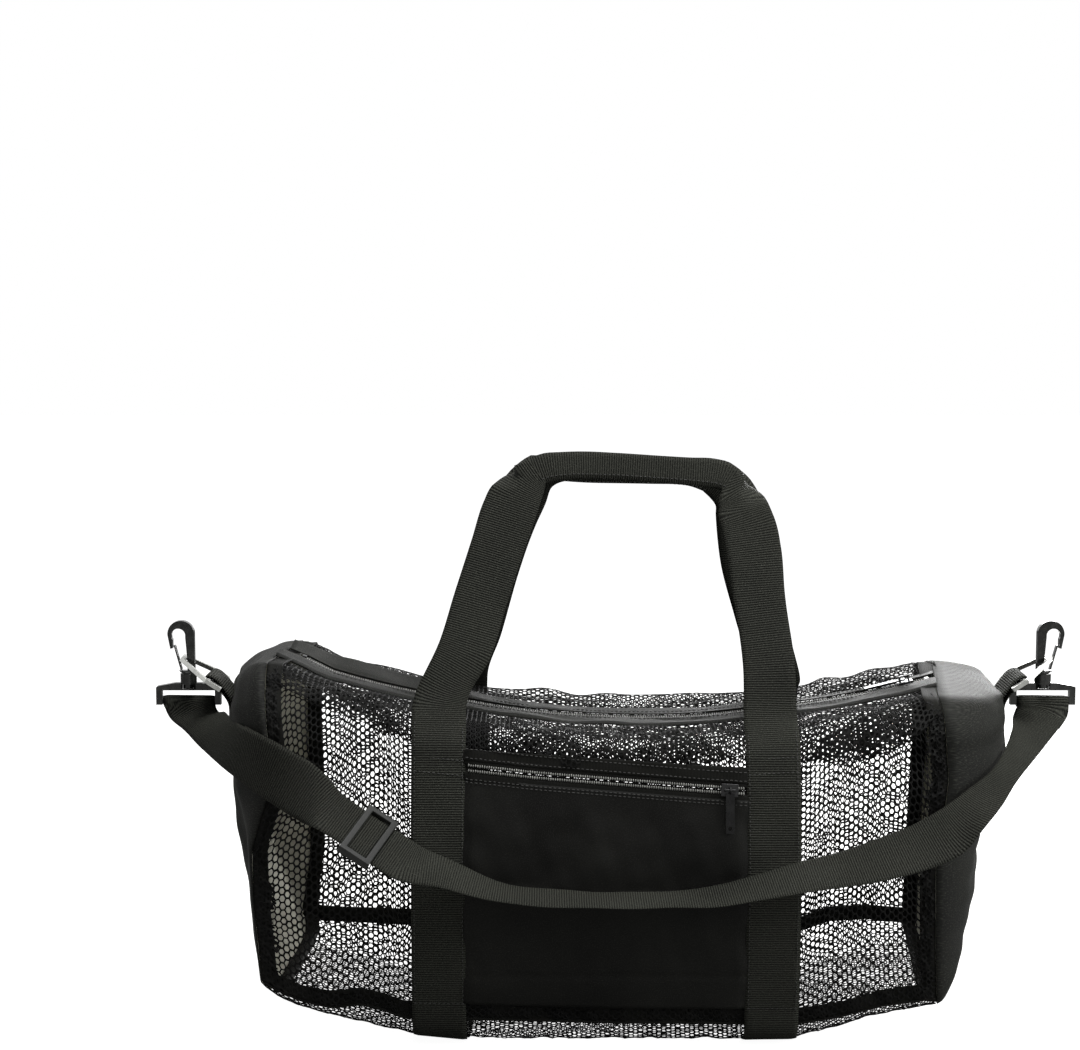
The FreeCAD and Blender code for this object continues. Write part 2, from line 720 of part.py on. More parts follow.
def handle(strap_x, side, outline):
    fold = fold_line(strap_x)
    feet = [vec(x, side * hinge_y, fold(x)) for x in strap_x]
    middle = (feet[0] + feet[1]) * 0.5
    across = (feet[1] - feet[0]).normalize()
    lean = math.radians(handle_lean)
    up = vec(0, -side * math.sin(lean), math.cos(lean))
    up = (up - across * up.dot(across)).normalize()
    stretch = (feet[1] - feet[0]).Length / (2 * handle_half)

    def place(p):
        return middle + across * (p[0] * stretch) + up * p[1]
    stations = [(place(inner), place(outer)) for outer, inner, _ in outline]
    ends = (0, len(outline) - 1)
    for i in ends:
        x = strap_x[0] if i == 0 else strap_x[1]
        half = web_w / 2 if i == 0 else -web_w / 2
        stations[i] = tuple(vec(e, side * hinge_y, fold(e)) for e in (x + half, x - half))
    return ribbon(stations, [t for _, _, t in outline]), middle, across


parts["carry_handle_front"], front_hinge, front_axis = handle(front_strap_x, FRONT, front_outline)
parts["carry_handle_back"], back_hinge, back_axis = handle(back_strap_x, BACK, back_outline)

# ---- rings and tabs


def tilt(sign):
    """Placement at the ring's bar: X along the ring, away from the bag."""
    a = math.radians(ring_slope)
    along = vec(sign * math.cos(a), 0, math.sin(a))
    across = vec(0, sign, 0)
    return FreeCAD.Placement(vec(sign * ring_bar_x, 0, ring_bar_z),
                             FreeCAD.Rotation(along, across, along.cross(across), "ZXY"))


def ring():
    """Triangle ring with its bar at the origin and its tip along +X."""
    tip = ring_tip_half - ring_wall
    outer = [(-ring_leg, ring_out), (ring_neck, ring_out), (ring_len, tip), (ring_len, -tip),
             (ring_neck, -ring_out), (-ring_leg, -ring_out)]
    plate = Part.Face(polygon([vec(x, y, 0) for x, y in outer])).extrude(vec(0, 0, ring_t))
    inside = ring_out - ring_wall
    far = ring_len - ring_tip_wall
    near = ring_neck + 1
    hole = [(1, inside), (near, inside), (far, tip), (far, -tip), (near, -inside), (1, -inside)]
    cut = Part.Face(polygon([vec(x, y, -1) for x, y in hole])).extrude(vec(0, 0, ring_t + 2))
    below = box(-ring_leg - 1, 1, -inside, inside, -1, ring_t + 1)
    frame = plate.cut(cut.fuse(below)).translated(vec(0, 0, -ring_t / 2))
    bar = Part.makeCylinder(ring_bar_r, 2 * inside + 2, vec(0, -inside - 1, 0), vec(0, 1, 0))
    return frame.fuse(bar).removeSplitter()


def tab(sign):
    """Webbing tab: looped round the ring's bar and sewn down the end panel."""
    hole_r = ring_bar_r + tab_loop_gap
    face_x = seam_x + dome_depth + gap
    leg_x = face_x + tab_t
    loop = Part.makeCylinder(hole_r + tab_t, tab_w, vec(ring_bar_x, -tab_w / 2, ring_bar_z), vec(0, 1, 0))
    bore = Part.makeCylinder(hole_r, 2 * tab_w, vec(ring_bar_x, -tab_w, ring_bar_z), vec(0, 1, 0))
    slope = math.atan2(ring_bar_z - tab_top_z, ring_bar_x - leg_x)
    off_x, off_z = tab_t * math.sin(slope), tab_t * math.cos(slope)
    tail = polygon([vec(ring_bar_x - off_x, 0, ring_bar_z + off_z), vec(leg_x - off_x, 0, tab_top_z + off_z),
                    vec(leg_x + off_x, 0, tab_top_z - off_z), vec(ring_bar_x + off_x, 0, ring_bar_z - off_z)])
    tail = Part.Face(tail).extrude(vec(0, tab_w, 0)).translated(vec(0, -tab_w / 2, 0))
    leg = box(face_x, face_x + 2 * tab_t, -tab_w / 2, tab_w / 2, tab_foot_z, tab_top_z)
    shape = loop.fuse([tail, leg]).cut(bore).removeSplitter()
    return shape if sign > 0 else shape.mirror(vec(0, 0, 0), vec(1, 0, 0))


for name, sign in (("left", LEFT), ("right", RIGHT)):
    loop = ring()
    loop.Placement = tilt(sign)
    parts["triangle_ring_" + name] = loop
    parts["end_tab_" + name] = tab(sign)

# ---- clips


def clip_point(sign, u, y, z):
    return vec(sign * (hook_x + u), y, hook_z + z)


def clip_loop(sign):
    """Strap loop of the clip with its swivel socket; +X is away from the bag."""
    half = loop_w / 2
    slot = slot_w / 2
    low = bar_bottom - bar_inset
    end_top = loop_top - shoulder_drop
    outline = [(half, low), (half, end_top - 1), (half - 1, end_top), (loop_shoulder, loop_top),
               (-loop_shoulder, loop_top), (loop_chamfer - half, end_top), (-half, end_top - loop_chamfer),
               (-half, low)]
    plate = Part.Face(polygon([vec(x, -loop_t / 2, z) for x, z in outline])).extrude(vec(0, loop_t, 0))
    window = box(-slot, slot, -loop_t, loop_t, low - 1, -socket_h - slot_drop)
    bar = box(-slot - 1, slot + 1, -bar_y / 2, bar_y / 2, bar_bottom, bar_top)
    long_edges = [e for e in bar.Edges if abs(e.tangentAt(e.FirstParameter).x) > 0.99]
    bar = bar.makeFillet(bar_round, long_edges)
    socket = Part.makeCylinder(socket_r, socket_h - 1, vec(0, 0, -socket_h), vec(0, 0, 1))
    bore = Part.makeCylinder(shaft_r + shaft_gap, socket_h, vec(0, 0, -socket_h + mouth), vec(0, 0, 1))
    cell = head_r + shaft_gap
    floor = -socket_h + head_floor
    cage = box(-cell, cell, -socket_r - 1, socket_r + 1, floor, floor + head_t + 2 * shaft_gap)
    body = plate.cut(window).fuse([bar, socket]).cut(bore.fuse(cage)).removeSplitter()
    if sign < 0:
        body = body.mirror(vec(0, 0, 0), vec(1, 0, 0))
    return body.translated(vec(sign * hook_x, 0, hook_z))


def clip_hook(sign):
    """Snap hook: nose and eye on the outer side, shaft and head below."""
    def at(point):
        return clip_point(sign, point[0], 0, point[1])

    def lines(points):
        return [Part.makeLine(at(a), at(b)) for a, b in zip(points, points[1:])]

    def bend(start, points):
        return [Part.Arc(at(start), at(points[0]), at(points[1])).toShape()]
    edges = lines(hook_back) + bend(hook_back[-1], hook_crown)
    edges += lines(hook_crown[-1:] + hook_nose) + bend(hook_nose[-1], hook_inside)
    edges += lines(hook_inside[-1:] + hook_stem)
    face = Part.Face(Part.Wire(Part.__sortEdges__(edges)))
    body = face.extrude(vec(0, hook_t, 0)).translated(vec(0, -hook_t / 2, 0))
    low = -socket_h + head_floor + shaft_gap
    foot = clip_point(sign, 0, 0, -collar_t / 2)
    collar = Part.makeCylinder(socket_r - collar_in, collar_t, foot, vec(0, 0, 1))
    shaft = Part.makeCylinder(shaft_r, -low + 0.5, clip_point(sign, 0, 0, low), vec(0, 0, 1))
    head = Part.makeCylinder(head_r, head_t, clip_point(sign, 0, 0, low), vec(0, 0, 1))
    return body.fuse([collar, shaft, head]).removeSplitter()


def clip_gate(sign):
    """Springy gate leaf, from its root beside the stem up behind the nose."""
    half = gate_t / 2
    pts = [(gate_root[0] - half, gate_root[1] - gate_foot), (gate_root[0] + half, gate_root[1] - gate_foot),
           (gate_tip[0] + half, gate_tip[1]), (gate_tip[0] - half, gate_tip[1])]
    face = Part.Face(polygon([clip_point(sign, u, -gate_w / 2, z) for u, z in pts]))
    return face.extrude(vec(0, gate_w, 0))


for name, sign in (("left", LEFT), ("right", RIGHT)):
    parts["clip_loop_" + name] = clip_loop(sign)
    parts["clip_hook_" + name] = clip_hook(sign)
    parts["clip_gate_" + name] = clip_gate(sign)

# ---- shoulder strap and its adjuster

along = vec(*glide_along).normalize()
across = vec(*glide_across)
across = (across - along * across.dot(along)).normalize()
normal = along.cross(across)
centre = vec(*glide_centre)


def straight_station(s):
    mid = centre + along * s
    return mid - across * (web_w / 2), mid + across * (web_w / 2)


def loop_over(sign, count=4):
    """Webbing over the lower bar of a clip, from the front to the back."""
    r = -strap_route[0][0][1]
    z = strap_route[0][0][2]
    lift = hook_z + bar_top + gap + web_t / 2 - z
    out = []
    for i in range(1, count + 1):
        a = math.pi * i / (count + 1)
        y, h = -r * math.cos(a), z + lift * min(1.0, fold_full * math.sin(a))
        low = vec(sign * (hook_x + web_w / 2), y, h)
        high = vec(sign * (hook_x - web_w / 2), y, h)
        out.append((low, high))
    return out


left_run = [(vec(*a), vec(*b)) for a, b in strap_route]
right_run = [(vec(*a), vec(*b)) for a, b in strap_route_right]
straight = [straight_station(s) for s in (-glide_reach, glide_reach)]
main_layer = left_run + straight + right_run


def behind_bar(station):
    """The fold's two stations behind a clip's bar, from the bar down."""
    out = []
    for drop in (0.0, bar_clear):
        out.append(tuple(vec(p.x, -p.y, p.z - drop) for p in station))
    return out


left_back = behind_bar(left_run[0])
right_back = behind_bar(right_run[-1])
behind = shifted(main_layer, -web_t - layer_gap)
return_layer = list(reversed(behind[1:len(left_run)]))
stub_layer = list(reversed(behind[-1 - return_stub:-1]))
whole = (return_layer + list(reversed(left_back)) + list(reversed(loop_over(LEFT))) + main_layer
         + loop_over(RIGHT) + right_back + stub_layer)
parts["shoulder_strap"] = ribbon(whole, web_t)


def on_strap(s0, s1, w0, w1, n0, n1):
    """Box in the adjuster's axes: along the strap, across it and off its face."""
    shape = box(s0, s1, w0, w1, n0, n1)
    shape.Placement = FreeCAD.Placement(centre, FreeCAD.Rotation(along, across, normal, "ZXY"))
    return shape


def adjuster():
    half = glide_l / 2
    inner = web_w / 2 + glide_gap
    outer = inner + glide_rail
    face = web_t / 2 + glide_gap
    pieces = [on_strap(-half, half, side * inner if side > 0 else -outer, outer if side > 0 else -inner,
                       -face - glide_t, face + glide_t) for side in (-1, 1)]
    for s in (-half, half - glide_bar):
        pieces.append(on_strap(s, s + glide_bar, -outer, outer, face, face + glide_t))
    pieces.append(on_strap(-glide_bar / 2, glide_bar / 2, -outer, outer, -face - glide_t, -face))
    return pieces[0].fuse(pieces[1:]).removeSplitter()


def adjuster_loop():
    """End of the webbing, folded round the middle bar of the adjuster and sewn."""
    face = web_t / 2 + glide_gap
    half = glide_bar / 2 + glide_gap
    w = web_w / 2
    top = -face - glide_t - glide_gap
    return on_strap(-half - glide_loop_l, half, -w, w, top - web_t, top)


parts["strap_adjuster"] = adjuster()
parts["adjuster_loop"] = adjuster_loop()

# ---- write each piece, and what the joints need

os.makedirs("parts", exist_ok=True)
for name, shape in parts.items():
    if not shape.isValid() or shape.Volume <= 0:
        print("PROBLEM", name, shape.isValid(), round(shape.Volume, 1))
    shape.exportStep("parts/" + name + ".step")

print(len(parts), "nodes")
print("top arc centre", round(top_cx, 3), round(top_cz, 3), "radius", round(top_r, 3))
pin = on_top_line(Part.Vertex(vec(top_cx, 0, line_z + coil_z + pin_h)), main_slider_x).Point
print("main pull pin", pin)
print("pocket slider", pocket_place.Base, "along", pocket_along, "out", pocket_out, "pin", pocket_pin)
print("front handle hinge", front_hinge, front_axis)
print("back handle hinge", back_hinge, back_axis)
print("adjuster along", along, "normal", normal)
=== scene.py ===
import bpy
import bmesh
import math
import numpy as np
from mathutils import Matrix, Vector


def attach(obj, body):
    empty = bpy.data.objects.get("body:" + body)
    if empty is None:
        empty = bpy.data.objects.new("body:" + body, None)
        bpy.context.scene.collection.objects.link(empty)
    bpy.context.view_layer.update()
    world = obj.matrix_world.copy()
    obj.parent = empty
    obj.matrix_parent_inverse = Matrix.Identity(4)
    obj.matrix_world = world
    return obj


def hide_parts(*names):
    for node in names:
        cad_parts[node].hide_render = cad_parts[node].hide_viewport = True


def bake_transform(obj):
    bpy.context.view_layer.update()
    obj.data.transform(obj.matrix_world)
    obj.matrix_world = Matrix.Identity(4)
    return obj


# Mesh ball bag in its frame. Lengths in the dictionaries are millimetres.
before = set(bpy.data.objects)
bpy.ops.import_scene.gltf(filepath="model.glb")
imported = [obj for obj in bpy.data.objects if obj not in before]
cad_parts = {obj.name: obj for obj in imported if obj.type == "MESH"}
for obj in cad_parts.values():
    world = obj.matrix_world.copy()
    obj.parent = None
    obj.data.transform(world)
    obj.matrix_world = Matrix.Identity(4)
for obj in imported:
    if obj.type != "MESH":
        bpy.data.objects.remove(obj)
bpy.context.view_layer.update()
print("frame loaded with", len(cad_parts), "nodes")

mm = 0.001
front, back = -1, 1  # the bag's two sides, which are also the signs of y
sideName = {front: "front", back: "back"}
lens = {"place": (-56, -1535, 519), "pitch": 5.8, "focal": 70.0, "sensor": 36.0}


def linearColour(code):
    parts = [int(code[i:i + 2], 16) / 255 for i in (1, 3, 5)]
    return tuple(c / 12.92 if c < 0.04045 else ((c + 0.055) / 1.055) ** 2.4 for c in parts) + (1.0,)


def addNode(tree, kind, links=None, give=0, **settings):
    # adds a node and gives back one of its outputs
    node = tree.nodes.new(kind)
    for key, value in settings.items():
        setattr(node, key, value)
    for socket, value in (links or {}).items():
        if isinstance(value, bpy.types.NodeSocket):
            tree.links.new(value, node.inputs[socket])
        else:
            node.inputs[socket].default_value = value
    return node.outputs[give] if len(node.outputs) else node


def link(obj):
    bpy.context.scene.collection.objects.link(obj)
    return obj


def meshObject(name, points, faces, material=None, smooth=True, layers=None):
    # points in millimetres; layers are UV maps with one pair for each face corner
    mesh = bpy.data.meshes.new(name)
    mesh.from_pydata([tuple(p) for p in np.asarray(points, float) * mm], [], faces)
    for layer, pairs in (layers or {}).items():
        mesh.uv_layers.new(name=layer).data.foreach_set("uv", np.asarray(pairs, np.float32).ravel())
    mesh.polygons.foreach_set("use_smooth", [smooth] * len(mesh.polygons))
    mesh.update()
    if material:
        mesh.materials.append(material)
    return link(bpy.data.objects.new(name, mesh))


def gridObject(name, points, size, material=None, flip=False, extra=None):
    # points[i, j] is a sheet; size is its real extent, for a UV map called weave, in metres
    nu, nv = points.shape[:2]
    faces, corners = [], []
    for i in range(nu - 1):
        for j in range(nv - 1):
            ring = [(i, j), (i + 1, j), (i + 1, j + 1), (i, j + 1)]
            if flip:
                ring.reverse()
            faces.append([a * nv + b for a, b in ring])
            corners += ring
    share = np.array(corners, float) / np.array([nu - 1, nv - 1])
    layers = {"weave": share * np.array(size) * mm}
    if extra:
        layers[extra] = share
    return meshObject(name, points.reshape(-1, 3), faces, material, True, layers)


def applied(obj, name=None):
    # the object with its modifiers made part of its mesh
    graph = bpy.context.evaluated_depsgraph_get()
    mesh = bpy.data.meshes.new_from_object(obj.evaluated_get(graph), depsgraph=graph)
    name = name or obj.name
    bpy.data.objects.remove(obj)
    mesh.name = name
    return link(bpy.data.objects.new(name, mesh))


def thicken(obj, thick, lining=None):
    mod = obj.modifiers.new("cloth", "SOLIDIFY")
    mod.thickness, mod.offset = thick * mm, 0.0
    mod.use_quality_normals = True
    if lining:
        obj.data.materials.append(lining)
        mod.material_offset = 1
    return applied(obj)


def joined(name, objects):
    # several meshes of one material as one piece
    work = bmesh.new()
    for obj in objects:
        work.from_mesh(obj.data)
    mesh = bpy.data.meshes.new(name)
    work.to_mesh(mesh)
    work.free()
    mesh.materials.append(objects[0].data.materials[0])
    for obj in objects:
        bpy.data.objects.remove(obj)
    return link(bpy.data.objects.new(name, mesh))


def ready(obj, body, slotName, *nodes):
    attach(obj, body)
    if nodes:
        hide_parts(*nodes)
    return obj


def clothSheet(name, points, size, material, thick, slotName, node, flip=False):
    # a sewn sheet of cloth on the bag, in place of a construction node
    sheet = thicken(gridObject(name, points, size, material, flip), thick)
    return ready(sheet, "bag", slotName, node)


def smooth01(t):
    t = np.clip(t, 0, 1)
    return t * t * (3 - 2 * t)


def fade(t, rate):
    # 1 between, 0 at both ends of 0 to 1
    return smooth01(t * rate) * smooth01((1 - t) * rate)


def unit(v):
    return v / np.linalg.norm(v, axis=-1, keepdims=True)


def running(steps):
    # distance travelled after each step, from 0
    return np.concatenate([[0], np.cumsum(steps)])


def lattice(a, b, nu, c, d, nv):
    return np.meshgrid(np.linspace(a, b, nu), np.linspace(c, d, nv), indexing="ij")


def circleThrough(a, b, c):
    d = 2 * (a[0] * (b[1] - c[1]) + b[0] * (c[1] - a[1]) + c[0] * (a[1] - b[1]))
    sa, sb, sc = (p[0] ** 2 + p[1] ** 2 for p in (a, b, c))
    x = (sa * (b[1] - c[1]) + sb * (c[1] - a[1]) + sc * (a[1] - b[1])) / d
    y = (sa * (c[0] - b[0]) + sb * (a[0] - c[0]) + sc * (b[0] - a[0])) / d
    return x, y, math.hypot(a[0] - x, a[1] - y)


# how large each pattern is in millimetres: bends of the yarns, worn patches of cloth and of netting, and
# scuffs on hard pieces
patterns = {"bends": 11.11, "patches": 71.43, "netPatches": 50, "scuffs": 6.25}


def perMetre(size):
    # a noise's scale from the size of its pattern in millimetres
    return 1 / (size * mm)


def newMaterial(name):
    material = bpy.data.materials.new(name)
    material.use_nodes = True
    tree = material.node_tree
    tree.nodes.clear()
    return material, tree


def finishMaterial(tree, share, colours, rough, bump, **shader):
    # share mixes the two colours; bump is its strength, its depth in millimetres and its height
    colour = addNode(tree, "ShaderNodeMix", {
        0: share, 6: linearColour(colours[0]), 7: linearColour(colours[1])}, 2, data_type="RGBA")
    normal = addNode(tree, "ShaderNodeBump", {
        "Strength": bump[0], "Distance": bump[1] * mm, "Height": bump[2]})
    links = {"Base Color": colour, "Roughness": rough, "Normal": normal}
    links.update((key.replace("_", " "), value) for key, value in shader.items())
    surface = addNode(tree, "ShaderNodeBsdfPrincipled", links)
    addNode(tree, "ShaderNodeOutputMaterial", {"Surface": surface})


def threads(tree, look, uv):
    # height of a woven cloth, 0 to 1, from its UV map in metres: ribs along u, yarns along v
    axes = addNode(tree, "ShaderNodeSeparateXYZ", {0: uv}).node.outputs
    wobble = addNode(tree, "ShaderNodeTexNoise", {
        "Vector": uv, "Scale": perMetre(patterns["bends"]), "Detail": 2.0})
    shift = addNode(tree, "ShaderNodeMath", {0: wobble, 1: look["wander"]}, operation="MULTIPLY")
    waves = []
    for axis, spacing in zip(axes, (look["rib"], look["yarn"])):
        turns = addNode(tree, "ShaderNodeMath", {
            0: axis, 1: 2 * math.pi / (spacing * mm), 2: shift}, operation="MULTIPLY_ADD")
        waves.append(addNode(tree, "ShaderNodeMath", {0: turns}, operation="SINE"))
    # a plain weave goes over and under; otherwise the yarns break up crosswise ribs
    ribShare, overShare = (0.0, 0.5) if look["plain"] else (0.375, 0.125)
    height = addNode(tree, "ShaderNodeMath", {0: waves[0], 1: waves[1]}, operation="MULTIPLY")
    height = addNode(tree, "ShaderNodeMath", {0: height, 1: overShare, 2: 0.5}, operation="MULTIPLY_ADD")
    return addNode(tree, "ShaderNodeMath", {0: waves[0], 1: ribShare, 2: height},
                   operation="MULTIPLY_ADD")


def clothMaterial(name, look):
    material, tree = newMaterial(name)
    uv = addNode(tree, "ShaderNodeUVMap", uv_map="weave")
    height = threads(tree, look, uv)
    place = addNode(tree, "ShaderNodeTexCoord", give="Object")
    patches = addNode(tree, "ShaderNodeTexNoise", {
        "Vector": place, "Scale": perMetre(patterns["patches"]), "Detail": 5.0})
    # painted glints: specks of the lighter colour scattered over the weave, standing in for light caught by
    # single yarns
    glint = addNode(tree, "ShaderNodeTexNoise", {
        "Vector": uv, "Scale": perMetre(look["glint"]), "Detail": 1.0})
    share = addNode(tree, "ShaderNodeMapRange", {0: glint, 1: 0.52, 2: 0.72, 4: look["paintedGlint"]})
    # the weave's height paints the yarn tops lighter as a highlight and the hollows darker as shade; the
    # patches are worn cloth
    for pattern, amount in ((height, look["paintedYarnShading"]), (patches, look["patches"])):
        share = addNode(tree, "ShaderNodeMath", {0: pattern, 1: amount, 2: share}, operation="MULTIPLY_ADD")
    share = addNode(tree, "ShaderNodeMath", {0: share, 1: look["patches"] / 2}, operation="SUBTRACT",
                    use_clamp=True)
    rough = addNode(tree, "ShaderNodeMapRange", {0: patches, 3: look["rough"][0], 4: look["rough"][1]})
    finishMaterial(tree, share, (look["dark"], look["light"]), rough, (look["bump"], look["depth"], height),
                   IOR=1.5, Specular_IOR_Level=look["gloss"])
    return material


# polypropylene webbing, woven with crosswise ribs: matt, each rib's top painted lighter and specks painted as
# glints
wovenWebbing = clothMaterial("polypropylene webbing, ribbed weave", {
    "rib": 1.7, "yarn": 1.1, "plain": False, "wander": 1.2, "glint": 0.9, "paintedGlint": 0.7, "paintedYarnShading": 0.8,
    "patches": 0.5, "dark": "#020202", "light": "#40413b", "bump": 1.0, "depth": 0.6,
    "rough": (0.6, 0.8), "gloss": 0.06})
# coated polyester oxford of the ends: a fine basket of yarns, speckled with painted glints and with their
# tops painted lighter; its 0.5 mm yarns are drawn twice as coarse so that they show
fineWeave = {"rib": 1.2, "yarn": 1.0, "plain": True, "wander": 1.6, "rough": (0.6, 0.8)}
oxfordCloth = clothMaterial("polyester oxford cloth, plain weave", {
    **fineWeave, "glint": 0.8, "paintedGlint": 0.7, "paintedYarnShading": 0.35, "patches": 0.7, "dark": "#050505",
    "light": "#33342f", "bump": 0.6, "depth": 0.25, "rough": (0.5, 0.7), "gloss": 0.12})
# polyurethane coating, painted on the inside of the ends and dried: creamy white and dull, the yarn tops
# under it painted faintly lighter
paleCoating = clothMaterial("polyurethane coating on cloth", {
    **fineWeave, "glint": 0.7, "paintedGlint": 0.0, "paintedYarnShading": 0.15, "patches": 0.8, "dark": "#b9b7a6",
    "light": "#f3f2ea", "bump": 0.2, "depth": 0.1, "gloss": 0.2})
# the pocket's smoother polyester, nearly black, its yarns drawn twice as coarse, their tops painted lighter
# and specked with painted glints
pocketCloth = clothMaterial("polyester pocket cloth, plain weave", {
    **fineWeave, "rib": 1.0, "yarn": 0.9, "glint": 0.7, "paintedGlint": 0.6, "paintedYarnShading": 0.25, "patches": 0.9,
    "dark": "#050504", "light": "#282825", "bump": 0.5, "depth": 0.2, "rough": (0.45, 0.7), "gloss": 0.1})
# polyester binding and zip tape: narrow ribs, matt, their tops painted lighter, with a few painted glints
tapeCloth = clothMaterial("polyester tape, twill weave", {
    **fineWeave, "rib": 1.0, "yarn": 1.4, "plain": False, "wander": 1.0, "glint": 0.6, "paintedGlint": 0.12,
    "paintedYarnShading": 0.4, "patches": 0.5, "dark": "#080807", "light": "#262622", "bump": 0.6, "depth": 0.2,
    "gloss": 0.08})


def nettingMaterial(look):
    material, tree = newMaterial("polyester netting, warp knitted")
    place = addNode(tree, "ShaderNodeTexCoord", give="Object")
    stitches = addNode(tree, "ShaderNodeTexNoise", {
        "Vector": place, "Scale": perMetre(look["loop"]), "Detail": 2.0})
    patches = addNode(tree, "ShaderNodeTexNoise", {
        "Vector": place, "Scale": perMetre(patterns["netPatches"]), "Detail": 3.0})
    share = addNode(tree, "ShaderNodeMath", {0: stitches, 1: patches})
    share = addNode(tree, "ShaderNodeMapRange", {0: share, 1: 0.8, 2: 1.36})
    finishMaterial(tree, share, (look["dark"], look["light"]), 0.62, (0.6, 0.3, stitches),
                   Specular_IOR_Level=0.1)
    return material


# warp knitted polyester netting: soft strands with a dull shine on top
netting = nettingMaterial({"loop": 0.7, "dark": "#040404", "light": "#171715"})


def hardMaterial(name, look):
    material, tree = newMaterial(name)
    place = addNode(tree, "ShaderNodeTexCoord", give="Object")
    grain = addNode(tree, "ShaderNodeTexNoise", {
        "Vector": place, "Scale": perMetre(look["grain"]), "Detail": 3.0})
    scuffs = addNode(tree, "ShaderNodeTexNoise", {
        "Vector": place, "Scale": perMetre(patterns["scuffs"]), "Detail": 6.0, "Roughness": 0.7})
    share = addNode(tree, "ShaderNodeMapRange", {0: scuffs, 1: 0.45, 2: 0.75})
    rough = addNode(tree, "ShaderNodeMapRange", {0: scuffs, 3: look["rough"][0], 4: look["rough"][1]})
    finishMaterial(tree, share, (look["colour"], look["worn"]), rough, (look["bump"], 0.1, grain),
                   IOR=look["ior"], Metallic=look["metal"], Specular_IOR_Level=look["gloss"])
    return material


plain = {"ior": 1.5, "metal": 0.0, "gloss": 0.5}
# acetal, injection moulded and polished by the mould: black with clean bright highlights
mouldedAcetal = hardMaterial("acetal, moulded black", {
    **plain, "colour": "#151614", "worn": "#3a3b39", "grain": 1.5, "rough": (0.12, 0.26), "bump": 0.2,
    "ior": 1.62})
# the same from a mould with a fine spark-eroded face: dull black, its highlights spread wide
dullAcetal = hardMaterial("acetal, moulded dull black", {
    **plain, "colour": "#151614", "worn": "#242523", "grain": 1.0, "rough": (0.42, 0.55), "bump": 0.3,
    "ior": 1.48, "gloss": 0.35})
# zinc, cast and lacquered black: a thin hard shine
lacqueredZinc = hardMaterial("zinc, cast and lacquered", {
    **plain, "colour": "#0b0b0b", "worn": "#232323", "grain": 0.8, "rough": (0.2, 0.36), "bump": 0.15,
    "gloss": 0.3})
# aluminium, cast and tumbled: pale grey, softly blurred reflections and small pits
castAluminium = hardMaterial("aluminium, cast and tumbled", {
    **plain, "colour": "#c2c3bf", "worn": "#8f908d", "grain": 1.2, "rough": (0.3, 0.5), "bump": 0.35,
    "metal": 1.0})
# nylon, extruded and coiled into teeth: the black coil painted pale grey as a highlight on every turn, with a
# waxy shine from the shader
nylonPaintedHighlights = hardMaterial("nylon, coiled teeth", {
    **plain, "colour": "#6f6f6b", "worn": "#a5a5a0", "grain": 0.5, "rough": (0.45, 0.6), "bump": 0.1,
    "ior": 1.53})
# spun polyester sewing thread, a shade lighter than the cloth
sewingThread = hardMaterial("polyester thread, spun", {
    **plain, "colour": "#191917", "worn": "#33332f", "grain": 0.25, "rough": (0.5, 0.7), "bump": 0.4})
print("materials made")


bag = {"seamX": 245, "seamZ": 34, "seamY": 96, "bulgeY": 104, "endPinch": 7, "straightX": 110,
       "wallTopY": 90, "wallTopZ": 212, "flapY": 62, "flapDrop": 1, "shoulder": (0.74, 0.70),
       "topLine": ((-245, 272), (0, 224), (245, 254)), "stripY": 27,
       "topDip": ((-245, 0), (-228, -1), (-209, -4.5), (-174, -4), (-110, -2.5), (-58, -3), (50, -2.5),
                  (100, -0.5), (245, 0)),
       # how much higher the back edge of the back strip lies than the zip
       "tilt": ((-245, 4), (-232, 5), (-194, 8), (-176, 8), (-144, 6.4), (-100, 2.5), (-60, 0), (100, 0),
                (140, -1), (180, -3), (245, -2)),
       "tiltY": (8, 27, 50),  # rises from the first to the second y, dies out by the third
       "bellyY": 66, "bellyRise": ((-250, 42), (-238, 30), (-220, 24), (-202, 18.5), (-182, 12), (-154, 5),
                                   (-120, 0), (120, 0), (150, 8), (175, 17), (232, 29), (245, 33)),
       # height of the sewn lines along the bottom, and how the end seams wander with height
       "seamLine": {front: ((-246, 49), (-236, 43), (-220, 35), (-200, 30), (-181, 33), (-167, 29),
                            (-152, 23), (-114, 22.5), (0, 19.5), (125, 18.5), (156, 23.5), (186, 31.5),
                            (229, 37)),
                    back: ((-245, 47), (-226, 38), (-164, 34.5), (148, 28), (174, 37), (203, 38.7),
                           (233, 35.4))},
       "seamWander": {(front, -1): ((34, -6), (47, -6), (72, -8), (108, -11), (144, -12), (165, -6), (186, 1),
                                    (207, 1), (250, -3), (275, -4)),
                      (front, 1): ((36, 0), (72, -2), (130, -3), (160, 2), (193, 6), (250, 3), (262, 0)),
                      (back, -1): ((28, -10), (56, -5), (70, -3), (94, 0), (275, 0)),
                      (back, 1): ((34, 0), (134, 3), (190, 5), (250, 2))},
       "seams": {front: (-246, 224), back: (-238, 243)},  # where the ends are sewn on
       "wanderX": 150,  # the end seams' pull dies out by here
       "seamShare": 0.35,  # and the bottom lines' by this share of the way up
       "straps": {front: (-127, 107), back: (-116, 126)}, "webbing": 38}
halfWebbing = bag["webbing"] / 2

topCx, topCz, topR = circleThrough(*bag["topLine"])


def along(x, table):
    return np.interp(x, *zip(*table))


def topZ(x):
    x = np.asarray(x, float)
    return topCz - np.sqrt(topR ** 2 - (x - topCx) ** 2) + along(x, bag["topDip"])


def stripZ(x, y):
    lo, hi, _ = bag["tiltY"]
    return topZ(x) + along(x, bag["tilt"]) * np.clip((y - lo) / (hi - lo), 0, 1)


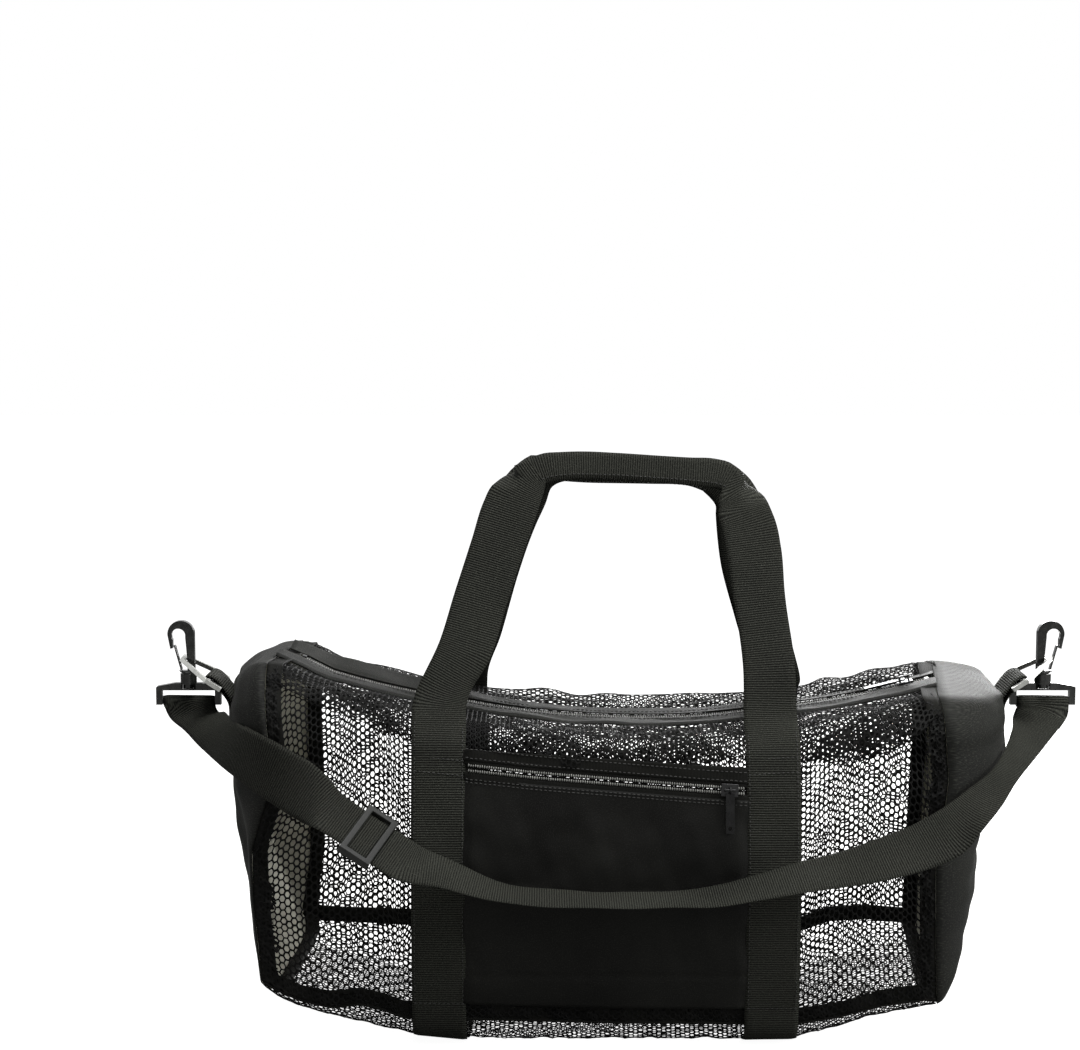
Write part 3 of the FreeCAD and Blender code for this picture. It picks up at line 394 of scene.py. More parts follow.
def wander(x, z, side):
    # how far the end seams, and what lies near them, are pulled along the bag at each height
    (lo, hi), calm = bag["seams"][side], bag["wanderX"]
    left = along(z, bag["seamWander"][side, -1]) * smooth01((-calm - x) / (-calm - lo))
    right = along(z, bag["seamWander"][side, 1]) * smooth01((x - calm) / (hi - calm))
    return left + right


def acrossBag(u, w):
    # x at the share u along the bag and the share w of the way from its front to its back
    (a, b), (c, d) = bag["seams"][front], bag["seams"][back]
    return (a + (c - a) * w) * (1 - u) + (b + (d - b) * w) * u


def arcPoints(a, b, c, count):
    cy, cz, r = circleThrough(a, b, c)
    start, end = (math.atan2(p[1] - cz, p[0] - cy) for p in (a, c))
    angles = np.linspace(start, end, count)
    return np.stack([cy + r * np.cos(angles), cz + r * np.sin(angles)], -1)


def bagSection(x):
    # wall and shoulder of the bag at x, from the bottom seam to the zip strip
    past = max(0.0, abs(x) - bag["straightX"]) / (bag["seamX"] - bag["straightX"])
    low, high = (bag["seamY"], bag["seamZ"]), (bag["wallTopY"], bag["wallTopZ"])
    middle = (bag["bulgeY"] - bag["endPinch"] * past ** 2, (low[1] + high[1]) / 2)
    end = (bag["flapY"], float(topZ(x)) - bag["flapDrop"])
    out, up = bag["shoulder"]
    bend = (end[0] + out * (high[0] - end[0]), high[1] + up * (end[1] - high[1]))
    return np.concatenate([arcPoints(low, middle, high, 60), arcPoints(high, bend, end, 30)[1:]])


def alongLine(line, count):
    # the line's points again at equal steps, and its length
    lengths = running(np.linalg.norm(np.diff(line, axis=0), axis=1))
    t = np.linspace(0, lengths[-1], count)
    return np.stack([np.interp(t, lengths, line[:, k]) for k in range(line.shape[1])], -1), lengths[-1]


# a table of the bag's side: rows up to the shoulder's inner edge, then along the level top
sideRows, topRows = 160, 26
tableX = np.linspace(-260, 260, 105)
sections = [alongLine(bagSection(x), sideRows + 1) for x in tableX]
tableLength = np.array([s[1] for s in sections])
inward = np.arange(1, topRows + 1) / topRows
levelTop = [np.stack([bag["flapY"] + (bag["stripY"] - bag["flapY"]) * inward,
                      topZ(x) - bag["flapDrop"] * (1 - 0.66 * inward)], -1) for x in tableX]
tableLine = np.concatenate([np.array([s[0] for s in sections]), np.array(levelTop)], axis=1)
shareTop = 1 + topRows / sideRows
turn = unit(np.gradient(tableLine, axis=1))
tableNormal = np.stack([turn[..., 1], -turn[..., 0]], -1)
kernel = np.ones(9) / 9  # the shoulder's corner is rounded, so its normals turn gradually
padded = np.pad(tableNormal, ((0, 0), (4, 4), (0, 0)), mode="edge")
tableNormal = unit(np.stack([np.stack([np.convolve(padded[i, :, k], kernel, "valid") for k in (0, 1)], -1)
                             for i in range(len(tableX))]))


def onBag(x, s, off=0.0, side=front):
    # points on the bag's side at x and the share s of the way up, off its surface by off
    x, s, off = np.broadcast_arrays(*(np.asarray(v, float) for v in (x, s, off)))
    i = np.clip((x - tableX[0]) / (tableX[1] - tableX[0]), 0, len(tableX) - 1.001)
    j = np.clip(s, 0, shareTop - 1e-6) * sideRows
    i0, j0 = i.astype(int), j.astype(int)
    fi, fj = (i - i0)[..., None], (j - j0)[..., None]

    def between(table):
        return ((table[i0, j0] * (1 - fi) + table[i0 + 1, j0] * fi) * (1 - fj)
                + (table[i0, j0 + 1] * (1 - fi) + table[i0 + 1, j0 + 1] * fi) * fj)
    place = between(tableLine) + between(tableNormal) * off[..., None]
    y, z = place[..., 0], place[..., 1]
    if side == back:  # the back strip lifts the netting that is sewn to it
        _, hi, rest = bag["tiltY"]
        z = z + along(x, bag["tilt"]) * smooth01((rest - y) / (rest - hi))
    lift = along(x, bag["seamLine"][side]) - bag["seamZ"]
    z = z + lift * (1 - smooth01(s / bag["seamShare"]))
    return np.stack([x + wander(x, z, side), side * y, z], -1)


def lengthAt(x):
    return np.interp(x, tableX, tableLength)


def shareAtZ(x, z):
    # the share of the way up the side at which the surface is z high
    x, z = np.broadcast_arrays(np.asarray(x, float), np.asarray(z, float))
    out = np.empty(x.shape)
    shares = np.linspace(0, 1, sideRows + 1)
    for k in np.ndindex(x.shape):
        i = int(round((x[k] - tableX[0]) / (tableX[1] - tableX[0])))
        heights = tableLine[min(max(i, 0), len(tableX) - 1), :sideRows + 1, 1]
        out[k] = np.interp(z[k], heights, shares)
    return out


def bays(x, side):
    # 1 between the sewn lines of webbing and the end seams, 0 at them
    lo, hi = bag["seams"][side]
    reach = halfWebbing + 2
    edges = [lo] + sorted(s + d for s in bag["straps"][side] for d in (-reach, reach)) + [hi]
    out = np.zeros_like(np.asarray(x, float))
    for a, b in zip(edges[::2], edges[1::2]):
        t = (x - a) / (b - a)
        out = np.where((t > 0) & (t < 1), smooth01(np.minimum(t, 1 - t) * 5), out)
    return out


def ripple(x, y, seed, scale=1.0):
    # smooth wandering height between about -1 and 1, the same on every run
    dice = np.random.default_rng(seed)
    total = np.zeros(np.broadcast(x, y).shape)
    for k in range(6):
        ang, wave, phase = dice.uniform(0, math.pi), dice.uniform(16, 52) * scale, dice.uniform(0, 6.28)
        total = total + np.sin((x * math.cos(ang) + y * math.sin(ang)) * 2 * math.pi / wave + phase)
    return total / 3.4


def newTree(name, sizes, seed):
    # a Geometry Nodes tree with its inputs: sizes in metres or shares, a seed and a material
    tree = bpy.data.node_groups.new(name, "GeometryNodeTree")
    sockets = [("Geometry", "Geometry", None), *((label, "Float", value) for label, value in sizes.items()),
               ("Seed", "Int", seed), ("Material", "Material", None)]
    for label, kind, value in sockets:
        socket = tree.interface.new_socket(label, in_out="INPUT", socket_type="NodeSocket" + kind)
        if value is not None:
            socket.default_value = value
    tree.interface.new_socket("Geometry", in_out="OUTPUT", socket_type="NodeSocketGeometry")
    return tree, addNode(tree, "NodeGroupInput").node.outputs


def finishTree(tree, geometry, material):
    geometry = addNode(tree, "GeometryNodeSetShadeSmooth", {"Geometry": geometry})
    geometry = addNode(tree, "GeometryNodeRealizeInstances", {"Geometry": geometry})
    geometry = addNode(tree, "GeometryNodeSetMaterial", {"Geometry": geometry, "Material": material})
    addNode(tree, "NodeGroupOutput", {0: geometry})
    return tree


def nettingTree():
    # a lattice of holes laid flat, then bent onto the incoming surface by its UV map "flat"
    tree, given = newTree("holesOfNetting", {
        "Width": 0.5, "Height": 0.25, "Pitch": 0.00475, "Column": 0.00335, "Opening": 0.74,
        "Unevenness": 0.08, "Rim": 0.0003}, 3)
    value = {socket.name: socket for socket in given if socket.name}
    value["index"] = addNode(tree, "GeometryNodeInputIndex")
    value["rim"] = addNode(tree, "GeometryNodeInputNamedAttribute", {"Name": "rim"}, data_type="FLOAT")
    for name, operation, *terms in (
            ("columns", "DIVIDE", "Width", "Column"), ("columns", "CEIL", "columns"),
            ("columns", "ADD", "columns", 3.0), ("rows", "DIVIDE", "Height", "Pitch"),
            ("rows", "CEIL", "rows"), ("rows", "ADD", "rows", 4.0),
            ("across", "SUBTRACT", "columns", 1.0), ("across", "MULTIPLY", "across", "Column"),
            ("up", "SUBTRACT", "rows", 1.0), ("up", "MULTIPLY", "up", "Pitch"),
            # every second column is raised by half a pitch
            ("column", "ADD", "index", 0.5), ("column", "DIVIDE", "column", "rows"),
            ("column", "FLOOR", "column"), ("odd", "MODULO", "column", 2.0), ("odd", "SUBTRACT", "odd", 0.5),
            ("half", "MULTIPLY", "Pitch", 0.5), ("raise", "MULTIPLY", "odd", "half"),
            ("least", "SUBTRACT", "Opening", "Unevenness"), ("most", "ADD", "Opening", "Unevenness"),
            # strands are rounded: their edges, where rim is 1, lie lower
            ("height", "SUBTRACT", 0.6, "rim"), ("height", "MULTIPLY", "height", "Rim")):
        value[name] = addNode(tree, "ShaderNodeMath", dict(enumerate(value.get(t, t) for t in terms)),
                              operation=operation)
    net = addNode(tree, "GeometryNodeMeshGrid", {
        "Size X": value["across"], "Size Y": value["up"],
        "Vertices X": value["columns"], "Vertices Y": value["rows"]})
    offset = addNode(tree, "ShaderNodeCombineXYZ", {1: value["raise"]})
    net = addNode(tree, "GeometryNodeSetPosition", {"Geometry": net, "Offset": offset})
    net = addNode(tree, "GeometryNodeTriangulate", {"Mesh": net}, quad_method="SHORTEST_DIAGONAL")
    net = addNode(tree, "GeometryNodeDualMesh", {"Mesh": net})
    net = addNode(tree, "GeometryNodeExtrudeMesh", {"Mesh": net, "Offset Scale": 0.0, "Individual": True})
    top = net.node.outputs["Top"]
    opening = addNode(tree, "FunctionNodeRandomValue", {
        2: value["least"], 3: value["most"], "Seed": given["Seed"]}, 1)
    net = addNode(tree, "GeometryNodeScaleElements", {"Geometry": net, "Selection": top, "Scale": opening})
    net = addNode(tree, "GeometryNodeStoreNamedAttribute", {
        "Geometry": net, "Name": "rim", "Value": top}, data_type="FLOAT", domain="POINT")
    net = addNode(tree, "GeometryNodeDeleteGeometry", {"Geometry": net, "Selection": top},
                  domain="FACE", mode="ONLY_FACE")
    # where each point lies as a share of the sheet, kept for the lookup
    size = addNode(tree, "ShaderNodeCombineXYZ", {0: given["Width"], 1: given["Height"], 2: 1.0})
    spot = addNode(tree, "ShaderNodeVectorMath", {
        0: addNode(tree, "GeometryNodeInputPosition"), 1: size}, operation="DIVIDE")
    spot = addNode(tree, "ShaderNodeVectorMath", {0: spot, 1: (0.5, 0.5, 0.0)})
    net = addNode(tree, "GeometryNodeStoreNamedAttribute", {
        "Geometry": net, "Name": "spot", "Value": spot}, data_type="FLOAT_VECTOR", domain="POINT")
    spot, uv = (addNode(tree, "GeometryNodeInputNamedAttribute", {"Name": name}, data_type="FLOAT_VECTOR")
                for name in ("spot", "flat"))
    place, normal = (addNode(tree, "GeometryNodeSampleUVSurface", {
        "Mesh": given["Geometry"], "Value": addNode(tree, kind), "UV Map": uv, "Sample UV": spot},
        data_type="FLOAT_VECTOR") for kind in ("GeometryNodeInputPosition", "GeometryNodeInputNormal"))
    outside = addNode(tree, "FunctionNodeBooleanMath", {0: place.node.outputs[1]}, operation="NOT")
    rise = addNode(tree, "ShaderNodeVectorMath", {0: normal, "Scale": value["height"]}, operation="SCALE")
    place = addNode(tree, "ShaderNodeVectorMath", {0: place, 1: rise})
    net = addNode(tree, "GeometryNodeSetPosition", {"Geometry": net, "Position": place})
    net = addNode(tree, "GeometryNodeDeleteGeometry", {"Geometry": net, "Selection": outside}, domain="POINT")
    return finishTree(tree, net, given["Material"])


def runTree(obj, tree, name, values):
    # the tree's result as a plain mesh; values are its inputs by name
    mod = obj.modifiers.new("make", "NODES")
    mod.node_group = tree
    for item in tree.interface.items_tree:
        if item.in_out == "INPUT" and item.name in values:
            mod[item.identifier] = values[item.name]
    made = applied(obj, name)
    made.data.materials.clear()
    made.data.materials.append(values["Material"])
    made.data.polygons.foreach_set("material_index", [0] * len(made.data.polygons))
    for layer in ("rim", "spot", "out"):
        if made.data.attributes.get(layer):
            made.data.attributes.remove(made.data.attributes[layer])
    return made


holesOfNetting = nettingTree()
# hexagonal holes: pitch up the netting, spacing of the columns, and the share that is open
net = {"pitch": 4.75, "column": 3.35, "opening": 0.73, "unevenness": 0.07, "rim": 0.55,
       "openingHem": 0.5, "openingLow": 0.58, "openingDoubled": 0.66}


def makeNet(name, points, size, seed, flip=False, opening="opening"):
    base = gridObject(name + "Base", points, size, None, flip, "flat")
    return runTree(base, holesOfNetting, name, {
        "Width": size[0] * mm, "Height": size[1] * mm, "Pitch": net["pitch"] * mm,
        "Column": net["column"] * mm, "Opening": net[opening], "Unevenness": net["unevenness"],
        "Rim": net["rim"] * mm, "Seed": seed, "Material": netting})


sidePanel = {
    front: {"name": "mesh_front", "fold": 21, "slack": 3.4, "rise": 0, "seed": 11,
            "foldLine": ((-246, 266), (-216, 262), (-147, 222), (-112, 214), (-14, 208), (84, 209),
                         (126, 207), (167, 217), (224, 238))},
    back: {"name": "mesh_back", "fold": 10, "slack": 3.0, "rise": 1, "seed": 23,
           "foldLine": ((-238, 250), (-147, 224), (0, 208), (126, 212), (243, 236))}}


def sideSurface(side, look, nu=150, nv=128):
    # the limp netting of one side: slack between the sewn lines, folded over under the zip strip
    lo, hi = bag["seams"][side]
    xs = np.linspace(lo, hi, nu)
    loose = bays(xs, side)
    foldS = shareAtZ(xs, along(xs, look["foldLine"]))
    points = np.empty((nu, nv, 3))
    soft = np.ones(5) / 5
    for i, x in enumerate(xs):
        length = float(lengthAt(x))
        f = loose[i] * look["fold"] * (0.8 + 0.35 * math.sin(x / 19.0 + look["seed"])) / length
        s0 = min(foldS[i], 0.93)
        # (share of the way up, distance off the surface): down to the fold, back under it and up again
        knots = np.array([
            (0, 0), (0.25, 0), (0.5, -0.5), (s0 - 0.06, -1.5), (s0 + f * 0.9, -2.6), (s0 + f * 1.05, -1.0),
            (s0 + f * 0.8, 0.4), (s0 - f * 0.4, 1.2), (s0 - f * 0.62, 2.4), (s0 - f * 0.4, 3.4),
            (min(s0 + f * 0.9, 0.97), 3.2), (0.985, 1.4), (1.03, 0.4), (shareTop, -0.6)])
        knots[:, 0] = np.clip(knots[:, 0], 0, shareTop)
        flat = running(np.hypot(np.diff(knots[:, 0]) * length, np.diff(knots[:, 1])))
        t = np.linspace(0, flat[-1], nv)
        s = np.interp(t, flat, knots[:, 0])
        off = np.interp(t, flat, knots[:, 1]) * (0.15 + 0.85 * loose[i])
        s, off = (np.convolve(np.pad(v, 2, mode="edge"), soft, "valid") for v in (s, off))
        s[0], s[-1] = 0, shareTop
        calm = smooth01(s * 9) * smooth01((shareTop - s) * 9)
        wave = ripple(np.full(nv, x), s * length, look["seed"], 1.25) * look["slack"] * calm * (
            0.12 + 0.88 * loose[i])
        gather = 1.6 * np.sin(s * length / 5.3 + x) * smooth01(1 - min(x - lo, hi - x) / 26.0) * calm
        lift = look["rise"] * loose[i] * smooth01((s - 0.74) * 6) * smooth01((shareTop - s) * 8)
        hang = -2.2 * loose[i] * smooth01(s * 4) * smooth01((0.9 - s) * 4)
        points[i] = onBag(np.full(nv, x), s, -0.8 + off + wave * 0.62 + gather + lift + hang, side)
    return points, (hi - lo, float(lengthAt(0)) + 35 + 1.3 * look["fold"])


# how wide the gathered hem beside each end seam is at each height
hems = {(front, -1): ((40, 18), (65, 14), (119, 15), (144, 6), (179, 5), (222, 9), (250, 9), (275, 12)),
        (front, 1): ((36, 11), (130, 12), (193, 13), (250, 14), (262, 16)),
        (back, -1): ((30, 8), (50, 16), (75, 9), (94, 4), (200, 4), (230, 11), (250, 20), (270, 24)),
        (back, 1): ((34, 6), (190, 4), (250, 8))}


def hemStrip(side, edge, layer):
    # crumpled layers of netting beside an end seam, where the seam allowance is folded in
    x0 = bag["seams"][side][0 if edge < 0 else 1]
    seed = 3.0 * layer + edge + 2 * side
    s, a = np.meshgrid(np.linspace(0.0, 1.03, 130), np.linspace(0, 1, 8))
    length = float(lengthAt(x0))
    wide = along(onBag(x0, s, 0, side)[..., 2], hems[side, edge])
    wide = wide * (1 - 0.16 * layer) * (1 + 0.3 * ripple(s * length, 0 * s, 60 + int(3 * seed), 0.7))
    frill = 1.5 * np.sin(s * length / 1.25 + a * 4 + seed) * (0.25 + a)
    frill = frill + 1.6 * ripple(s * length, a * wide, 40 + layer, 0.35)
    off = -1.2 - 1.9 * layer + frill * (0.4 + 0.6 * a)
    return onBag(x0 - edge * a * wide, s, off, side), (13 * 1.35, length * 1.25)


for side, look in sidePanel.items():
    points, size = sideSurface(side, look)
    parts = [makeNet(look["name"] + "Main", points, size, look["seed"], flip=(side == back))]
    for edge in (-1, 1):
        for layer in range(3 if side == front else 2):
            points, size = hemStrip(side, edge, layer)
            parts.append(makeNet("hem", points, size, 5 + layer, opening="openingHem"))
    lo, hi = bag["seams"][side][0] + 4, bag["seams"][side][1] - 4
    for layer in range(2):  # and above the bottom seam
        tall = 12 - 3 * layer
        xs, up = lattice(lo, hi, 220, 0, 1, 7)
        frill = -1.5 - 2.0 * layer + 1.5 * np.sin(xs / 3.7 + layer + up * 2) * (0.3 + up)
        top = tall * (0.85 + 0.2 * np.sin(xs / 23.0 + layer))
        points = onBag(xs, up * top / lengthAt(0), frill, side)
        parts.append(makeNet("hem", points, (hi - lo, tall), 9 + layer, opening="openingLow"))
    if side == front:  # the seam allowance of the top lies doubled under the shoulder
        xs, up = lattice(lo, hi, 200, 0, 1, 22)
        fold = shareAtZ(xs[:, 0], along(xs[:, 0], look["foldLine"]))[:, None] - 0.02
        s = fold + (shareTop - 0.004 - fold) * up
        off = -3.0 + 1.6 * ripple(xs, s * 250, 77, 1.1) * fade(up, 4)
        parts.append(makeNet("doubled", onBag(xs, s, off, side), (hi - lo, 92), 13,
                             opening="openingDoubled"))
    piece = joined(look["name"] + "_netting", parts)
    ready(piece, "bag", "netting", look["name"] + "_panel")
    print(piece.name, len(piece.data.polygons), "faces")


# round is how the belly curves outwards and upwards to its seams; the webbing under it reaches a share
# of the way to them, a little off the netting
belly = {"seed": 31, "slack": 1.6, "round": (0.85, 0.95), "webbing": (0.72, 0.75)}


def bellyPoint(x, t, off=0.0):
    # the bottom from the front seam (t = -1) to the back one (t = 1)
    a, (outwards, upwards) = np.abs(t), belly["round"]
    seam = np.where(t < 0, along(x, bag["seamLine"][front]), along(x, bag["seamLine"][back]))
    y0, y1, z1 = bag["seamY"], bag["bellyY"], np.minimum(along(x, bag["bellyRise"]), seam)
    angle = np.clip((a - y1 / y0) / (1 - y1 / y0), 0, 1) * math.pi / 2
    y = np.where(a < y1 / y0, a * y0, y1 + (y0 - y1) * np.sin(angle) ** outwards)
    z = z1 + (seam - z1) * (1 - np.cos(angle)) ** upwards + off
    shift = np.where(t < 0, wander(x, seam, front), wander(x, seam, back)) * a ** 5
    return np.stack([x + shift, np.sign(t) * y, z], -1)


u, t = lattice(0, 1, 120, -1, 1, 70)
x = acrossBag(u, (t + 1) / 2)
lift = np.abs(ripple(x, t * bag["seamY"], belly["seed"])) * belly["slack"] * smooth01((1 - np.abs(t)) * 5)
piece = makeNet("mesh_bottom_netting", bellyPoint(x, t, 0.7 + lift), (470, 232), belly["seed"], flip=True)
ready(piece, "bag", "netting", "mesh_bottom_panel")
print("netting made")


# what both ends share: how far out they may come, how soon they do so at each height, and how deep and
# how often their cloth pleats, dents and creases
endCloth = {"limit": 279.5, "crown": ((0, 0.55), (235, 0.55), (265, 0.36)), "thick": 0.9,
            "pleats": ((2.6, 9, 1), (1.7, 14, 2)), "dent": (4.2, 2.4), "crease": (1.2, 0.8)}
# how far each end stands out at each height
ends = {
    -1: {"name": "left", "depth": ((20, 8), (34, 10), (81, 17), (157, 26), (203, 34), (240, 38), (272, 26)),
         "centre": 240, "seed": 4},
    1: {"name": "right", "depth": ((20, 4), (34, 8), (50, 11), (96, 13.5), (119, 16.5), (161, 23), (180, 30),
                                     (201, 37), (218, 40), (236, 43), (262, 38)),
        "centre": 236, "seed": 9}}


def endOutline(sign, count):
    # the outline that an end is sewn to, all the way round, starting at the bottom front
    xf, xb = (bag["seams"][side][0 if sign < 0 else 1] for side in (front, back))
    s = np.linspace(0, 1, 60)
    up = onBag(xf, s, -0.6, front)
    down = onBag(xb, s[::-1], -0.6, back)
    top = np.linspace(up[-1], down[0], 30)[1:-1]
    under = bellyPoint(np.linspace(xb, xf, 40), np.linspace(1, -1, 40), 0.9)[1:-1]
    line = np.concatenate([up, top, down, under, up[:1]])
    return alongLine(line, count + 1)[0][:-1]


def endPanel(sign, look, around=180, rings=46):
    # rings that shrink from the seam to the tip, and grow outwards as they do
    outline = endOutline(sign, around)
    angle = np.linspace(0, 2 * math.pi, around, endpoint=False)
    edge = np.abs(outline[:, 0])
    points = []
    for k in range(rings):
        scale = 1 - (k / rings) ** 1.25
        y = outline[:, 1] * scale
        z = look["centre"] + (outline[:, 2] - look["centre"]) * scale
        rise = (1 - scale ** 2.4) ** along(z, endCloth["crown"])
        deep = (bag["seamX"] + along(z, look["depth"]) - edge) * rise
        near = smooth01((scale - 0.02) * 3) * smooth01((1 - scale) * 5)
        # pleats run out from the tab, and the cloth dents in between
        pleat = sum(deepest * np.sin(angle * count + turns * look["seed"])
                    for deepest, count, turns in endCloth["pleats"]) * (1 - scale) ** 0.7
        dent, crease = (deepest * ripple(y, z, look["seed"] + more, wide)
                        for more, (deepest, wide) in ((0, endCloth["dent"]), (5, endCloth["crease"])))
        x = edge + deep + near * (pleat + dent + crease)
        points.append(np.stack([sign * np.minimum(x, endCloth["limit"]), y, z], -1))
    points = np.array(points)
    flat = np.concatenate([points.reshape(-1, 3), [points[-1].mean(axis=0)]])
    faces = []
    for k in range(rings - 1):
        for i in range(around):
            ring = [(k, i), (k, i + 1), (k + 1, i + 1), (k + 1, i)]
            faces.append([a * around + b % around for a, b in ring])
    last = (rings - 1) * around
    faces += [[last + i, last + (i + 1) % around, rings * around] for i in range(around)]
    if sign > 0:
        faces = [f[::-1] for f in faces]
    uvs = [flat[i][1:] * mm for f in faces for i in f]
    obj = meshObject("end_" + look["name"] + "_cloth", flat, faces, oxfordCloth, True, {"weave": uvs})
    return thicken(obj, endCloth["thick"], lining=paleCoating), outline


outlines = {}
for sign, look in ends.items():
    piece, outlines[sign] = endPanel(sign, look)
    ready(piece, "bag", "end_fabric", "end_panel_" + look["name"])
print("ends made")


def spline(values, knots, at):
    # smooth curve through the values at the knots
    values = np.asarray(values, float)
    slopes = np.gradient(values, knots, axis=0)
    i = np.clip(np.searchsorted(knots, at, side="right") - 1, 0, len(knots) - 2)
    h = (knots[i + 1] - knots[i])
    t = (at - knots[i]) / h
    shape = (-1,) + (1,) * (values.ndim - 1)
    t, h = t.reshape(shape), h.reshape(shape)
    return ((2 * t ** 3 - 3 * t ** 2 + 1) * values[i] + (t ** 3 - 2 * t ** 2 + t) * h * slopes[i]
            + (-2 * t ** 3 + 3 * t ** 2) * values[i + 1] + (t ** 3 - t ** 2) * h * slopes[i + 1])


def webbingSection(width, full, fold, thick, wave, columns):
    # outline of webbing cut across, over the top and back underneath; fold is 0 flat, 1 folded in half
    cell = np.linspace(0, 1, columns)

    def turned(at):
        return math.pi * fold * smooth01((at - 0.5) / 0.16 + 0.5)
    bend = turned((cell[:-1] + cell[1:]) / 2)
    p = running(-np.cos(bend) * full / (columns - 1))
    p *= width / -p.min()
    q = running(np.sin(bend) * full / (columns - 1)) + wave * np.cos(cell * math.pi)
    half = thick / 2 * ((1 - np.abs(2 * cell - 1) ** 12) ** 0.5 * 0.82 + 0.18)  # thinner at its edges
    rise = np.stack([np.sin(turned(cell)) * half, np.cos(turned(cell)) * half], -1)
    line = np.stack([p, q], -1)
    return np.concatenate([line + rise, (line - rise)[::-1]])


def ribbon(name, stations, thick=1.4, step=3.5, columns=12, curl=None, waver=0.25, seed=1, creases=()):
    # webbing through pairs of edge points; curl is how far each station is folded lengthwise, 0 to 1,
    # and creases are the stations at which it turns sharply
    a, b = (np.array([s[k] for s in stations], float) for k in (0, 1))
    curl = np.zeros(len(a)) if curl is None else np.array(curl, float)
    knots = running(np.maximum(np.linalg.norm(np.diff((a + b) / 2, axis=0), axis=1), 0.3))
    cell = np.linspace(0, 1, columns)
    around = 2 * columns
    cuts = [0, *creases, len(a) - 1]
    rows, weave, faces, pairs = [], [], [], []
    for first, last in zip(cuts, cuts[1:]):
        run = slice(first, last + 1)
        reach = knots[last] - knots[first]
        at = np.linspace(knots[first], knots[last], max(2, round(reach / step)) + 1)
        p0, p1 = spline(a[run], knots[run], at), spline(b[run], knots[run], at)
        folds = np.clip(np.interp(at, knots[run], curl[run]), 0, 1)
        ahead = unit(np.gradient((p0 + p1) / 2, axis=0))
        width = np.linalg.norm(p1 - p0, axis=1)
        across = unit(p1 - p0)
        normal = unit(np.cross(ahead, across))
        base = len(rows)
        for i, fold in enumerate(folds):
            full = width[i] + (bag["webbing"] - width[i]) * min(1.0, 4 * fold)
            wave = waver * math.sin(at[i] / 9.0 + seed)
            ring = webbingSection(width[i], full, fold, thick, wave, columns)
            ring = p1[i] + ring[:, :1] * across[i] + ring[:, 1:] * normal[i]
            u = at[i] + (ring - (p0[i] + p1[i]) / 2) @ ahead[i]  # ribs lie square to the webbing
            v = cell * full
            rows.append(ring)
            weave.append(np.stack([u, np.concatenate([v, v[::-1] + 0.5])], -1))
        for i in range(base, len(rows) - 1):
            for j in range(around):
                k = (j + 1) % around
                corners = ((i, j), (i, k), (i + 1, k), (i + 1, j))
                faces.append([row * around + column for row, column in corners])
                pairs += [weave[row][column] for row, column in corners]
        if first == 0:
            faces.append(list(range(around - 1, -1, -1)))
            pairs += list(weave[0][::-1])
    faces.append([(len(rows) - 1) * around + j for j in range(around)])
    pairs += list(weave[-1])
    obj = meshObject(name, np.array(rows).reshape(-1, 3), faces, wovenWebbing, True,
                     {"weave": np.array(pairs) * mm})
    work = bmesh.new()
    work.from_mesh(obj.data)
    bmesh.ops.remove_doubles(work, verts=work.verts[:], dist=1e-7)
    bmesh.ops.recalc_face_normals(work, faces=work.faces[:])
    work.to_mesh(obj.data)
    work.free()
    return obj


handles = {
    "lean": 19.8, "half": 117.0, "thick": 1.4, "blend": (-3, 9),
    "grip": (22.2, 18.4),  # narrower than the first it is folded in half, and the second wide then
    # where it is sewn on: shares of the way out under the belly, then of the way up the side
    "under": (0.7, 0.78, 0.86, 0.93, 0.98),
    "wall": (0.03, 0.12, 0.24, 0.36, 0.48, 0.6, 0.7, 0.78, 0.85, 0.91),
    # outer and inner edge of the webbing above the bag
    front: {"hinge": (-10, -72, 237.75), "axis": (0.99913, 0, -0.04172), "body": "handle_front",
            "node": "carry_handle_front", "name": "front_webbing_and_handle", "outline": (
                ((-136, 0), (-98, 0)), ((-119, 47), (-82, 37)), ((-110, 83), (-73, 73)),
                ((-100, 121), (-63, 111)), ((-92.4, 150.5), (-54, 141.5)), ((-87.2, 162), (-50.2, 155.7)),
                ((-76.1, 174.8), (-48.7, 162.5)), ((-61.6, 182.9), (-48.5, 166)),
                ((-51.5, 187.2), (-43.8, 167.5)), ((-38.8, 188.8), (-36, 169)),
                ((-24.5, 189.9), (-24, 170.3)), ((1, 190), (2, 170.8)), ((33, 189.2), (33, 170)),
                ((56, 188.8), (56.3, 169.2)), ((74.7, 188.6), (70.9, 168)), ((85, 186.2), (76.7, 167.2)),
                ((92.4, 181.2), (79.6, 166.5)), ((99.9, 175.4), (77.6, 159.3)),
                ((110.3, 165.3), (77.7, 152.9)), ((113.5, 157), (77.5, 146)), ((118.5, 145), (80, 138)),
                ((123, 125), (84, 119)), ((126, 92), (89, 88)), ((134, 37), (97, 35)), ((136, 0), (98, 0)))},
    back: {"hinge": (5, 72, 237.87), "axis": (0.99969, 0, -0.02502), "body": "handle_back",
           "node": "carry_handle_back", "name": "back_webbing_and_handle", "outline": (
               ((-136, 0), (-98, 0)), ((-124, 42), (-88.7, 34)), ((-112, 98), (-76, 90)),
               ((-100, 140), (-64, 131)), ((-94, 155), (-58, 147)), ((-85, 166), (-55, 158)),
               ((-70, 177), (-50, 163)), ((-52, 181), (-45, 165)), ((-30, 183.5), (-28, 164)),
               ((15, 184), (15, 164.5)), ((48, 182), (46, 163)), ((62, 179), (54, 160)),
               ((76, 173.5), (60, 154)), ((88, 165), (64, 148)), ((98, 152), (64.5, 141)),
               ((106.5, 108.5), (70.5, 100)), ((119.5, 62), (83.1, 56)), ((128, 31), (91.5, 28)),
               ((136, 0), (98, 0)))}}


